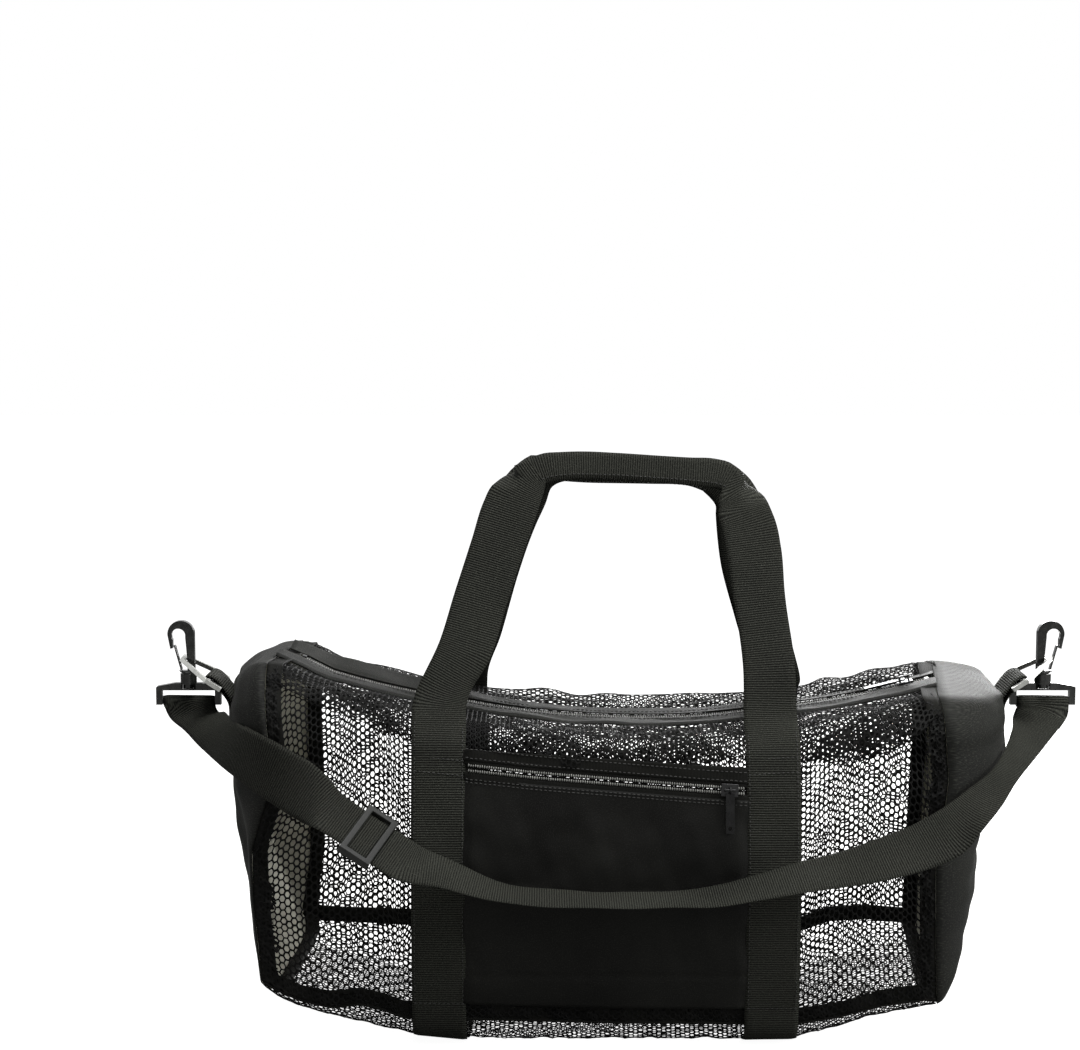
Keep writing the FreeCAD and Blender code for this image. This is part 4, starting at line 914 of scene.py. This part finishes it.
def handleStations(side):
    # edges of the webbing above the bag, how far it is folded there, and the handle's way up
    look, (narrow, folded) = handles[side], handles["grip"]
    axis, hinge = np.array(look["axis"]), np.array(look["hinge"], float)
    lean = math.radians(handles["lean"])
    up = np.array([0, -side * math.sin(lean), math.cos(lean)])
    up = unit(up - axis * (up @ axis))
    x0, x1 = bag["straps"][side]
    stretch = (x1 - x0) / axis[0] / (2 * handles["half"])
    out, curl = [], []
    for pair in look["outline"]:
        out.append([hinge + axis * (p[0] * stretch) + up * p[1] for p in pair])
        wide = np.linalg.norm(out[-1][0] - out[-1][1])  # the narrower, the further it is folded in half
        curl.append(1.0 if wide < narrow else math.acos(min(1.0, max(0.0, wide / folded - 1))) / math.pi)
    return out, curl, up


def wallStations(x, side, order):
    # webbing sewn up the side from under the belly; order is which edge comes first
    edges = (x - order * halfWebbing, x + order * halfWebbing)
    out, first = [], handles["under"][0]
    for t in handles["under"]:
        n = (t - first) / (1 - first)
        off = np.array([0, side * (0.3 + 1.1 * n), 0.8 * (1 - n) - 0.2])
        out.append([bellyPoint(e, side * t) + off for e in edges])
    for s in handles["wall"]:
        out.append([onBag(e, s, 1.1, side) for e in edges])
    return out


for side, name in sideName.items():
    look = handles[side]
    x0, x1 = bag["straps"][side]
    loops, curls, up = handleStations(side)
    leftWall, rightWall = wallStations(x0, side, 1), wallStations(x1, side, -1)
    curl = [0] * len(leftWall) + curls + [0] * len(rightWall)
    creases = [i for i in range(1, len(curl) - 1) if curl[i] == 1 and min(curl[i - 1], curl[i + 1]) < 1]
    piece = ribbon(look["name"], leftWall + loops + rightWall[::-1], handles["thick"], 3.0, 14, curl, 0.35,
                   side + 3, creases)
    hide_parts(look["node"], name + "_strap_left", name + "_strap_right")
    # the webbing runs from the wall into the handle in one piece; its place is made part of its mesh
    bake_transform(piece)

for name, x0, x1 in zip(("left", "right"), bag["straps"][front], bag["straps"][back]):
    reach, off = belly["webbing"]
    stations = []
    for t in np.linspace(-reach, reach, 9):
        x = x0 + (x1 - x0) * (t + 1) / 2
        stations.append([bellyPoint(x + d, t, off) for d in (-halfWebbing, halfWebbing)])
    ready(ribbon("bottom_webbing_" + name, stations, 1.4, 6), "bag", "webbing", "bottom_strap_" + name)
print("webbing and handles made")


topZip = {"stripIn": 6.9, "stripOut": 29, "sag": 0.9, "seed": 6, "end": 228, "lip": 1.6,
          # the tape's rows: how far from the middle, how far below the strip
          "tape": ((2.9, 1.35), (4.5, 1.3), (6.5, 1.5), (9, 1.7), (11.5, 2.0)),
          "teeth": (1.7, 1.25, 2.5, 2.1), "coilY": 1.85, "coilDrop": 1.4}


def stripSurface(side):
    u, v = lattice(0, 1, 130, 0, 1, 16)
    y = side * (topZip["stripIn"] + (topZip["stripOut"] - topZip["stripIn"]) * v)
    x = acrossBag(u, (y / 64 + 1) / 2)
    x = x + wander(x, topZ(x), side)
    calm = smooth01(v * 5) * fade(u, 14)
    z = stripZ(x, y) - 0.2 - 0.3 * v + ripple(x, y * 1.5, topZip["seed"] + side, 1.7) * topZip["sag"] * calm
    z = z - topZip["lip"] * smooth01((v - 0.86) * 7)  # turned down where the netting is sewn to it
    return np.stack([x, y, z], -1)


for side, name in sideName.items():
    clothSheet("zip_strip_" + name, stripSurface(side), (470, 22), oxfordCloth, 0.9, "end_fabric",
               "zip_flap_" + name, side == front)
    xs = np.linspace(-topZip["end"], topZip["end"], 150)
    rows = [np.stack([xs, np.full(150, side * y), stripZ(xs, side * y) - drop], -1)
            for y, drop in topZip["tape"]]
    clothSheet("zip_tape_" + name, np.stack(rows, 1), (456, 9), tapeCloth, 0.7, "zip_tape",
               "main_zip_tape_" + name, side == front)


def rowTree():
    # one small rounded bead at every pitch along the incoming lines, lying on their "out" direction
    tree, given = newTree("rowOfBeads", {
        "Pitch": 0.003, "Length": 0.0022, "Width": 0.0007, "Height": 0.0005, "Unevenness": 0.1}, 1)
    line = addNode(tree, "GeometryNodeMeshToCurve", {"Mesh": given["Geometry"]})
    line = addNode(tree, "GeometryNodeResampleCurve", {"Curve": line, "Length": given["Pitch"]},
                   mode="LENGTH")
    out = addNode(tree, "GeometryNodeInputNamedAttribute", {"Name": "out"}, data_type="FLOAT_VECTOR")
    ahead = addNode(tree, "GeometryNodeInputTangent")
    turned = addNode(tree, "FunctionNodeAlignRotationToVector", {"Vector": out}, axis="Z")
    turned = addNode(tree, "FunctionNodeAlignRotationToVector", {"Rotation": turned, "Vector": ahead},
                     axis="X", pivot_axis="Z")
    bead = addNode(tree, "GeometryNodeMeshUVSphere", {"Segments": 6, "Rings": 4, "Radius": 0.5})
    size = addNode(tree, "ShaderNodeCombineXYZ", {0: given["Length"], 1: given["Width"], 2: given["Height"]})
    low, high = (addNode(tree, "ShaderNodeMath", {0: 1.0, 1: given["Unevenness"]}, operation=operation)
                 for operation in ("SUBTRACT", "ADD"))
    vary = addNode(tree, "FunctionNodeRandomValue", {2: low, 3: high, "Seed": given["Seed"]}, 1)
    size = addNode(tree, "ShaderNodeVectorMath", {0: size, "Scale": vary}, operation="SCALE")
    beads = addNode(tree, "GeometryNodeInstanceOnPoints", {
        "Points": line, "Instance": bead, "Rotation": turned, "Scale": size})
    return finishTree(tree, beads, given["Material"])


rowOfBeads = rowTree()


def beadRows(name, lines, sizes, material, seed=1):
    # lines are (points, out directions) pairs; sizes are pitch, length, width and height
    points, edges, outs = [], [], []
    for line, out in lines:
        line = np.asarray(line, float)
        edges += [(len(points) + i, len(points) + i + 1) for i in range(len(line) - 1)]
        points += [tuple(p * mm) for p in line]
        outs.append(np.broadcast_to(np.asarray(out, float), line.shape))
    mesh = bpy.data.meshes.new(name)
    mesh.from_pydata(points, edges, [])
    mesh.attributes.new("out", "FLOAT_VECTOR", "POINT").data.foreach_set(
        "vector", np.concatenate(outs).astype(np.float32).ravel())
    values = dict(zip(("Pitch", "Length", "Width", "Height"), (s * mm for s in sizes)))
    return runTree(link(bpy.data.objects.new(name, mesh)), rowOfBeads, name,
                   {**values, "Seed": seed, "Material": material})


for side, name in sideName.items():
    xs = np.linspace(-topZip["end"], topZip["end"], 160)
    line = np.stack([xs, np.full(160, side * topZip["coilY"]), topZ(xs) - topZip["coilDrop"]], -1)
    piece = beadRows("zip_teeth_" + name, [(line, (0, 0, 1))], topZip["teeth"], nylonPaintedHighlights)
    ready(piece, "bag", "zip_coil", "main_zip_coil_" + name)
print("zip made")


pocket = {"left": -111.5, "right": 91.0, "bottom": 46, "zipZ": 191.4, "slope": -0.06, "off": 2.6,
          "zipRise": ((-116, 4.5), (-60, 2), (0, 1), (60, 0)), "bandTop": ((-115, 12), (-50, 14), (90, 16)),
          "seed": 15, "pucker": 1.1, "tuck": -2.0, "hem": (0.9, 10, 1.6), "sewn": (-107, 87),
          "teeth": (1.6, 1.2, 2.3, 1.9), "coil": (-105.7, 85.7), "coilRise": 1.75, "coilOff": 3.1}


def zipHeight(x):
    return pocket["zipZ"] + pocket["slope"] * x + along(x, pocket["zipRise"])


def pocketSheet(low, high, off, nu, nv, sag, seed, reach=(pocket["left"], pocket["right"])):
    # low and high are heights on the wall at each end of a column
    points = []
    for x in np.linspace(*reach, nu):
        z = np.linspace(low(x), high(x), nv)
        t = (z - z[0]) / (z[-1] - z[0])
        edge = smooth01(min(x - pocket["left"], pocket["right"] - x) / 9.0)
        column = np.full(nv, x)
        wave = ripple(column, z, seed, 2.1) * sag * fade(t, 4)
        fine = ripple(column, z, seed + 3, 0.6) * 0.25 * sag * fade(t, 6)
        tuck = pocket["tuck"] * (1 - edge)
        points.append(onBag(column, shareAtZ(column, z), off + tuck + (wave + fine) * edge, front))
    return np.array(points)


points = pocketSheet(lambda x: pocket["bottom"], lambda x: zipHeight(x) - 6.2, pocket["off"], 110, 80, 1.5,
                     pocket["seed"])
# creases that pull in from the sewn edges
across = (points[..., 0] - pocket["left"]) / (pocket["right"] - pocket["left"])
height, inset = points[..., 2], np.minimum(across, 1 - across)
pull = np.sin(height / 6.5 + across * 5) * np.exp(-inset * 14) * pocket["pucker"] * smooth01(inset * 30)
thick, rise, wide = pocket["hem"]
hemLine = np.exp(-((height - pocket["bottom"] - rise) / wide) ** 2)  # the turned and sewn hem
points[..., 1] += thick * hemLine - pull
clothSheet("pocket_cloth", points, (202, 145), pocketCloth, 0.9, "pocket_fabric", "pocket_panel")
points = pocketSheet(lambda x: zipHeight(x) + 5.0, lambda x: zipHeight(x) + along(x, pocket["bandTop"]),
                     pocket["off"] + 0.3, 90, 12, 0.5, 2)
clothSheet("pocket_binding", points, (202, 9), tapeCloth, 1.1, "pocket_fabric", "pocket_top_band")
for name, way, a, b in (("lower", -1, -8.2, -0.15), ("upper", 1, 0.15, 7.4)):
    points = pocketSheet(lambda x: zipHeight(x) + a, lambda x: zipHeight(x) + b, pocket["off"] + 0.1, 80, 12,
                         0.0, 2, (-110, 89.5))
    behind = smooth01((3.0 - np.abs(points[..., 2] - zipHeight(points[..., 0]))) / 0.8)  # under the teeth
    points[..., 1] += 1.5 * behind
    clothSheet("pocket_tape_" + name, points, (200, 8), tapeCloth, 0.6, "zip_tape", "pocket_zip_tape_" + name)
    xs = np.linspace(*pocket["coil"], 80)
    s = shareAtZ(xs, zipHeight(xs) + way * pocket["coilRise"])
    line, out = (onBag(xs, s, pocket["coilOff"] + more) for more in (0, 1))
    piece = beadRows("pocket_teeth_" + name, [(line, out - line)], pocket["teeth"], nylonPaintedHighlights)
    ready(piece, "bag", "zip_coil", "pocket_zip_coil_" + name)
print("pocket made")


# the tape over the bottom seams, and the rows of the binding of the ends: how far in along the bag from
# the seam, how far inside it
seams = {"tape": 11, "thick": 1.2, "height": 215, "foot": (0.985, 1.4), "off": -2.4,
         "binding": ((0.2, 1.6), (3, 2.0), (7, 3.4), (11, 3.0))}
for side, name in sideName.items():
    lo, hi = bag["seams"][side]
    xs = np.linspace(lo + 1, hi - 1, 200)
    t, off = seams["foot"]
    rows = [bellyPoint(xs, np.full(200, side * t), off)]
    for up in np.arange(7) / 6:
        wave = 0.9 * np.sin(xs / 13.0 + up * 2) + 0.6 * np.sin(xs / 5.1)
        s = (up * seams["tape"] + 0.6 * np.sin(xs / 31.0)) / seams["height"]
        rows.append(onBag(xs, s, seams["off"] + wave * 0.5, side))
    clothSheet("bottom_seam_" + name, np.stack(rows, 1), (470, 13), tapeCloth, seams["thick"], "seam_tape",
               "bottom_seam_" + name, side == back)

for sign, look in ends.items():
    outline = outlines[sign]
    radial = unit(outline[:, 1:] - np.array([0, look["centre"]]))
    wave = 0.6 * np.sin(np.arange(len(outline)) * 0.45 + sign)[:, None]
    rows = []
    for step, shrink in seams["binding"]:
        yz = outline[:, 1:] - radial * (shrink + wave)
        rows.append(np.concatenate([outline[:, :1] - sign * step, yz], axis=1))
    points = np.stack(rows, 1)
    points = np.concatenate([points, points[:1]])
    clothSheet("end_binding_" + look["name"], points, (900, 12), tapeCloth, 1.0, "seam_tape",
               "end_binding_" + look["name"], sign > 0)
print("seams made")


tab = {"width": 37, "face": 281.4, "bar": (298.4, 250.3), "loop": 3.3, "foot": 198, "bend": 239.5}


def tabPath():
    # up the end, round the ring's bar and back down
    (bx, bz), r, face = tab["bar"], tab["loop"], tab["face"]
    start = math.atan2(bz - tab["bend"], bx - face) + math.pi / 2
    angles = start - np.linspace(0, 1.18 * math.pi, 9)
    return [(face + 0.7, tab["foot"]), (face + 0.7, 212), (face + 0.7, 226), (face + 1.6, 237.5),
            (face + 5.5, 243.5), *((bx + r * math.cos(a), bz + r * math.sin(a)) for a in angles),
            (face + 8.0, 241.0), (face + 3.3, 234), (face + 2.3, 224), (face + 2.3, 212),
            (face + 2.2, tab["foot"] + 1)]


for sign, look in ends.items():
    half = tab["width"] / 2
    stations = [((sign * x, -half, z), (sign * x, half, z)) for x, z in tabPath()]
    piece = ribbon("end_tab_webbing_" + look["name"], stations, 1.4, 1.6, 10)
    ready(piece, "bag", "webbing", "end_tab_" + look["name"])

shoulder = {
    "left": (((-335, -3.4, 232), (-297, -3.4, 232)), ((-331, -5, 224), (-294, -6, 226)),
             ((-318, -18, 215), (-286, -26, 229)), ((-303, -38, 206), (-277, -56, 230)),
             ((-277, -76, 196), (-260, -90, 229)), ((-247, -106, 183), (-233, -106, 219)),
             ((-219, -122, 170), (-207, -107, 203))),
    "right": (((-122, -144, 130), (-121, -108.2, 142)), ((-83, -146, 121), (-84, -108.2, 125)),
              ((-29, -146, 117), (-28, -108.2, 118.5)), ((27, -146, 117), (27, -108.2, 118)),
              ((65, -146, 118), (66, -108.2, 122)), ((94, -145, 122), (97, -108.2, 131)),
              ((122, -144, 127), (125, -108.2, 139)), ((150, -142, 130), (151, -108.2, 146)),
              ((182, -139, 135), (180, -108.2, 156)), ((213, -134, 142), (206, -107.5, 167)),
              ((234, -131, 152), (227, -106, 179)), ((246.5, -129, 166.5), (243, -98.5, 189)),
              ((261, -117, 179.5), (261, -84, 198)), ((275, -97, 191), (274.5, -63, 208)),
              ((293, -70, 201), (286, -36, 218)), ((310, -43, 209), (291, -16, 223)),
              ((325, -20, 217), (295, -8, 228)), ((334, -6.5, 224), (297, -5, 229.5)),
              ((335, -3.4, 232), (297, -3.4, 232))),
    "glide": ((-174.0, -123.0, 160.5), (0.84, -0.125, -0.527), (0.384, 0.824, 0.417)), "reach": 29,
    "barX": (335, 297), "barY": 3.4, "barZ": 232, "layer": 2.4}

centre, lengthwise, across = (np.array(v) for v in shoulder["glide"])
lengthwise = unit(lengthwise)
across = unit(across - lengthwise * (across @ lengthwise))
away = np.cross(lengthwise, across)


def onGlide(s, w, n=0.0):
    # a place on the straight part that the adjuster slides on: along it, across it and off it
    return centre + lengthwise * s + across * w + away * n


def atBar(sign, y, z):
    return tuple((sign * x, y, z) for x in shoulder["barX"])


def overBar(sign):
    out, r = [], shoulder["barY"]
    for angle in math.pi * np.arange(1, 6) / 6:
        lift = (r + 0.2) * min(1.0, 1.35 * math.sin(angle))
        out.append(atBar(sign, -r * math.cos(angle), shoulder["barZ"] + lift))
    return out


def behindLayer(run):
    # the layer that is folded back lies behind the strap
    ahead = np.gradient(np.array([(a + b) / 2 for a, b in run]), axis=0)
    out = []
    for (a, b), d in zip(run, ahead):
        n = unit(np.cross(d, b - a)) * shoulder["layer"]
        out.append((a - n, b - n))
    return out


def strapStations():
    left, right = ([tuple(np.array(p, float) for p in s) for s in shoulder[k]] for k in ("left", "right"))
    reach = shoulder["reach"]
    stops = (-reach, 4 - reach, 0, reach - 4, reach)
    flat = [(onGlide(s, -halfWebbing), onGlide(s, halfWebbing)) for s in stops]
    main = left + flat + right
    behind = behindLayer(main)
    hang = [shoulder["barZ"] - 2.5, shoulder["barZ"]]
    first = behind[len(left) - 1:0:-1] + [atBar(-1, shoulder["barY"], z) for z in hang] + overBar(-1)[::-1]
    last = overBar(1) + [atBar(1, shoulder["barY"], z) for z in hang[::-1]] + behind[-2:-4:-1]
    return first + main + last


piece = ribbon("shoulder_strap_webbing", strapStations(), 1.4, 2.8, 14, None, 0.3, 5)
ready(piece, "strap", "webbing", "shoulder_strap")
turns = [(-11.5, -3.3), (-8, -3.4), (-3.5, -4.1), (1, -4.4), (2.9, -4.2), (3.4, -3.6)]
stations = [(onGlide(s, -halfWebbing, n - 0.4), onGlide(s, halfWebbing, n - 0.4)) for s, n in turns]
piece = ribbon("adjuster_loop_webbing", stations, 1.2, 1.5, 12)
ready(piece, "adjuster", "webbing", "adjuster_loop")
print("shoulder strap made")


def hardPart(node, material, bevel, slotName, body):
    # a copy of the construction's shape with its edges rounded as moulding or casting leaves them
    work = bmesh.new()
    work.from_mesh(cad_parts[node].data)
    bmesh.ops.remove_doubles(work, verts=work.verts[:], dist=2e-6)
    bmesh.ops.dissolve_limit(work, angle_limit=math.radians(1.0), verts=work.verts[:], edges=work.edges[:])
    mesh = bpy.data.meshes.new(node + "_shaped")
    work.to_mesh(mesh)
    work.free()
    mesh.materials.append(material)
    obj = link(bpy.data.objects.new(node + "_shaped", mesh))
    mod = obj.modifiers.new("edges", "BEVEL")
    mod.width, mod.segments, mod.angle_limit = bevel * mm, 2, math.radians(28)
    mod.limit_method, mod.harden_normals, mod.use_clamp_overlap = "ANGLE", False, True
    obj = applied(obj)
    obj.data.polygons.foreach_set("use_smooth", [True] * len(obj.data.polygons))
    obj.modifiers.new("faces", "WEIGHTED_NORMAL").keep_sharp = True
    return ready(applied(obj), body, slotName, node)


# each construction piece with its material, the radius of its edges, its slot and its body
hard = {
    "main_zip_slider": (lacqueredZinc, 0.35, "zip_metal", "main_zip_slider"),
    "main_zip_pull": (lacqueredZinc, 0.3, "zip_metal", "main_zip_pull"),
    "pocket_zip_slider": (lacqueredZinc, 0.35, "zip_metal", "pocket_zip_slider"),
    "pocket_zip_pull": (lacqueredZinc, 0.3, "zip_metal", "pocket_zip_pull"),
    "main_zip_stops": (lacqueredZinc, 0.3, "zip_coil", "bag"),
    "triangle_ring_left": (castAluminium, 0.8, "ring_metal", "ring_left"),
    "triangle_ring_right": (castAluminium, 0.8, "ring_metal", "ring_right"),
    "clip_loop_left": (mouldedAcetal, 0.7, "clip_plastic", "strap"),
    "clip_loop_right": (mouldedAcetal, 0.7, "clip_plastic", "strap"),
    "clip_hook_left": (mouldedAcetal, 0.9, "clip_plastic", "hook_left"),
    "clip_hook_right": (mouldedAcetal, 0.9, "clip_plastic", "hook_right"),
    "clip_gate_left": (mouldedAcetal, 0.35, "clip_plastic", "gate_left"),
    "clip_gate_right": (mouldedAcetal, 0.35, "clip_plastic", "gate_right"),
    "strap_adjuster": (dullAcetal, 0.7, "clip_plastic", "adjuster")}
for node, look in hard.items():
    hardPart(node, *look)
print("hard parts made")


# pitch, length, width and height of a stitch; how far from the webbing's middle its rows run; the heights
# that they run at; the rows above and below the pocket's zip, with how far off they lie; and the rows
# on the strips beside the zip
sewing = {"stitch": (3.2, 2.5, 0.75, 0.6), "bar": 16.5, "row": 16.8, "foot": 46, "bars": (198, 208),
          "top": 0.9, "pocket": ((6.6, 1.05), (12.4, 1.05), (-7.6, 0.6), (-9.6, 0.6)),
          "strip": (12.0, 14.0), "stripX": (-224, 214)}


def stitchOn(x0, s0, x1, s1, side, count=16, off=1.95):
    xs, ss = np.linspace(x0, x1, count), np.linspace(s0, s1, count)
    line = onBag(xs, ss, off, side)
    return line, onBag(xs, ss, off + 1, side) - line


lines = []
for side in sideName:
    for x in bag["straps"][side]:
        foot, *bars = (float(shareAtZ(x, z)) for z in (sewing["foot"], *sewing["bars"]))
        for s in bars:
            lines.append(stitchOn(x - sewing["bar"], s, x + sewing["bar"], s, side))
        for dx in (-sewing["row"], sewing["row"]):
            lines.append(stitchOn(x + dx, foot, x + dx, sewing["top"], side, 60))
        lines.append(stitchOn(x - sewing["bar"], foot, x + sewing["bar"], foot, side))
for rise, off in sewing["pocket"]:
    xs = np.linspace(*pocket["sewn"], 60)
    s = shareAtZ(xs, zipHeight(xs) + rise)
    line = onBag(xs, s, pocket["off"] + off)
    lines.append((line, onBag(xs, s, 5) - line))
for y in sewing["strip"]:
    for side in sideName:
        xs = np.linspace(*sewing["stripX"], 120)
        lines.append((np.stack([xs, np.full(120, side * y), topZ(xs) + 0.55], -1), (0, 0, 1)))
ready(beadRows("sewing_on_bag", lines, sewing["stitch"], sewingThread, 3), "bag", "webbing")
for side, name in sideName.items():
    look = handles[side]
    loops, curls, up = handleStations(side)
    a, b = (np.array([s[k] for s, fold in zip(loops, curls) if fold == 1.0]) for k in (0, 1))
    low = b + (a - b) * 0.14
    face = unit(np.cross(look["axis"], up))
    face = face * np.sign(face[1] * side)
    knots, at = np.linspace(0, 1, len(low)), np.linspace(0, 1, 60)
    lines = [(spline(low, knots, at) + face * d, face * np.sign(d)) for d in (1.1, -4.2)]
    ready(beadRows("grip_sewing_" + name, lines, sewing["stitch"], sewingThread, 4), look["body"], "webbing")
print("sewing made")


# lamps have a place, a width in metres and a power in watts; they point at the height aim
studio = {"backdrop": "#ffffff", "around": 0.22, "floor": 9000, "paper": "#a8a8a6", "lift": 0.96, "aim": 180,
          "lamps": (((150, -250, 2300), 1.0, 46), ((500, 1100, 500), 0.7, 16), ((1500, -700, 900), 1.0, 19))}

world = bpy.data.worlds.new("studio")
bpy.context.scene.world = world
world.use_nodes = True
tree = world.node_tree
tree.nodes.clear()
rays = addNode(tree, "ShaderNodeLightPath").node.outputs
seen = rays["Is Camera Ray"]
for kind in ("Is Glossy Ray", "Is Transmission Ray"):  # what mirrors and glass see is white too
    seen = addNode(tree, "ShaderNodeMath", {0: seen, 1: rays[kind]}, operation="MAXIMUM")
soft, white = (addNode(tree, "ShaderNodeBackground", {"Color": linearColour(colour), "Strength": strength})
               for colour, strength in (("#f4f6fa", studio["around"]), (studio["backdrop"], 1.0)))
mixed = addNode(tree, "ShaderNodeMixShader", {0: seen, 1: soft, 2: white})
addNode(tree, "ShaderNodeOutputWorld", {"Surface": mixed})

# the floor is lifted to white for the camera alone
floorMaterial, tree = newMaterial("paper, matt white sweep")
rays = addNode(tree, "ShaderNodeLightPath").node.outputs
matt = addNode(tree, "ShaderNodeBsdfDiffuse", {"Color": linearColour(studio["paper"])})
strength = addNode(tree, "ShaderNodeMath", {0: rays["Is Camera Ray"], 1: studio["lift"]},
                   operation="MULTIPLY")
lift = addNode(tree, "ShaderNodeEmission", {
    "Color": linearColour(studio["backdrop"]), "Strength": strength})
both = addNode(tree, "ShaderNodeAddShader", {0: matt, 1: lift})
addNode(tree, "ShaderNodeOutputMaterial", {"Surface": both})
reach = studio["floor"]
corners = [(x * reach, y * reach, -0.1) for x, y in ((-1, -1), (1, -1), (1, 1), (-1, 1))]
meshObject("floor", corners, [(0, 1, 2, 3)], floorMaterial, False)

for place, size, power in studio["lamps"]:
    lamp = bpy.data.lights.new("softbox", "AREA")
    lamp.shape, lamp.size, lamp.energy = "DISK", size, power
    obj = link(bpy.data.objects.new("softbox", lamp))
    obj.location = Vector(place) * mm
    obj.visible_camera = False
    ahead = Vector((0, 0, studio["aim"] * mm)) - obj.location
    obj.rotation_euler = ahead.to_track_quat("-Z", "Y").to_euler()

camera = bpy.data.cameras.new("camera")
camera.lens, camera.sensor_width, camera.clip_start, camera.clip_end = lens["focal"], lens["sensor"], 0.05, 60
view = link(bpy.data.objects.new("camera", camera))
view.location = Vector(lens["place"]) * mm
view.rotation_euler = (math.radians(90 - lens["pitch"]), 0, 0)
bpy.context.scene.camera = view
bpy.context.scene.view_settings.view_transform = "Standard"

print("scene ready")
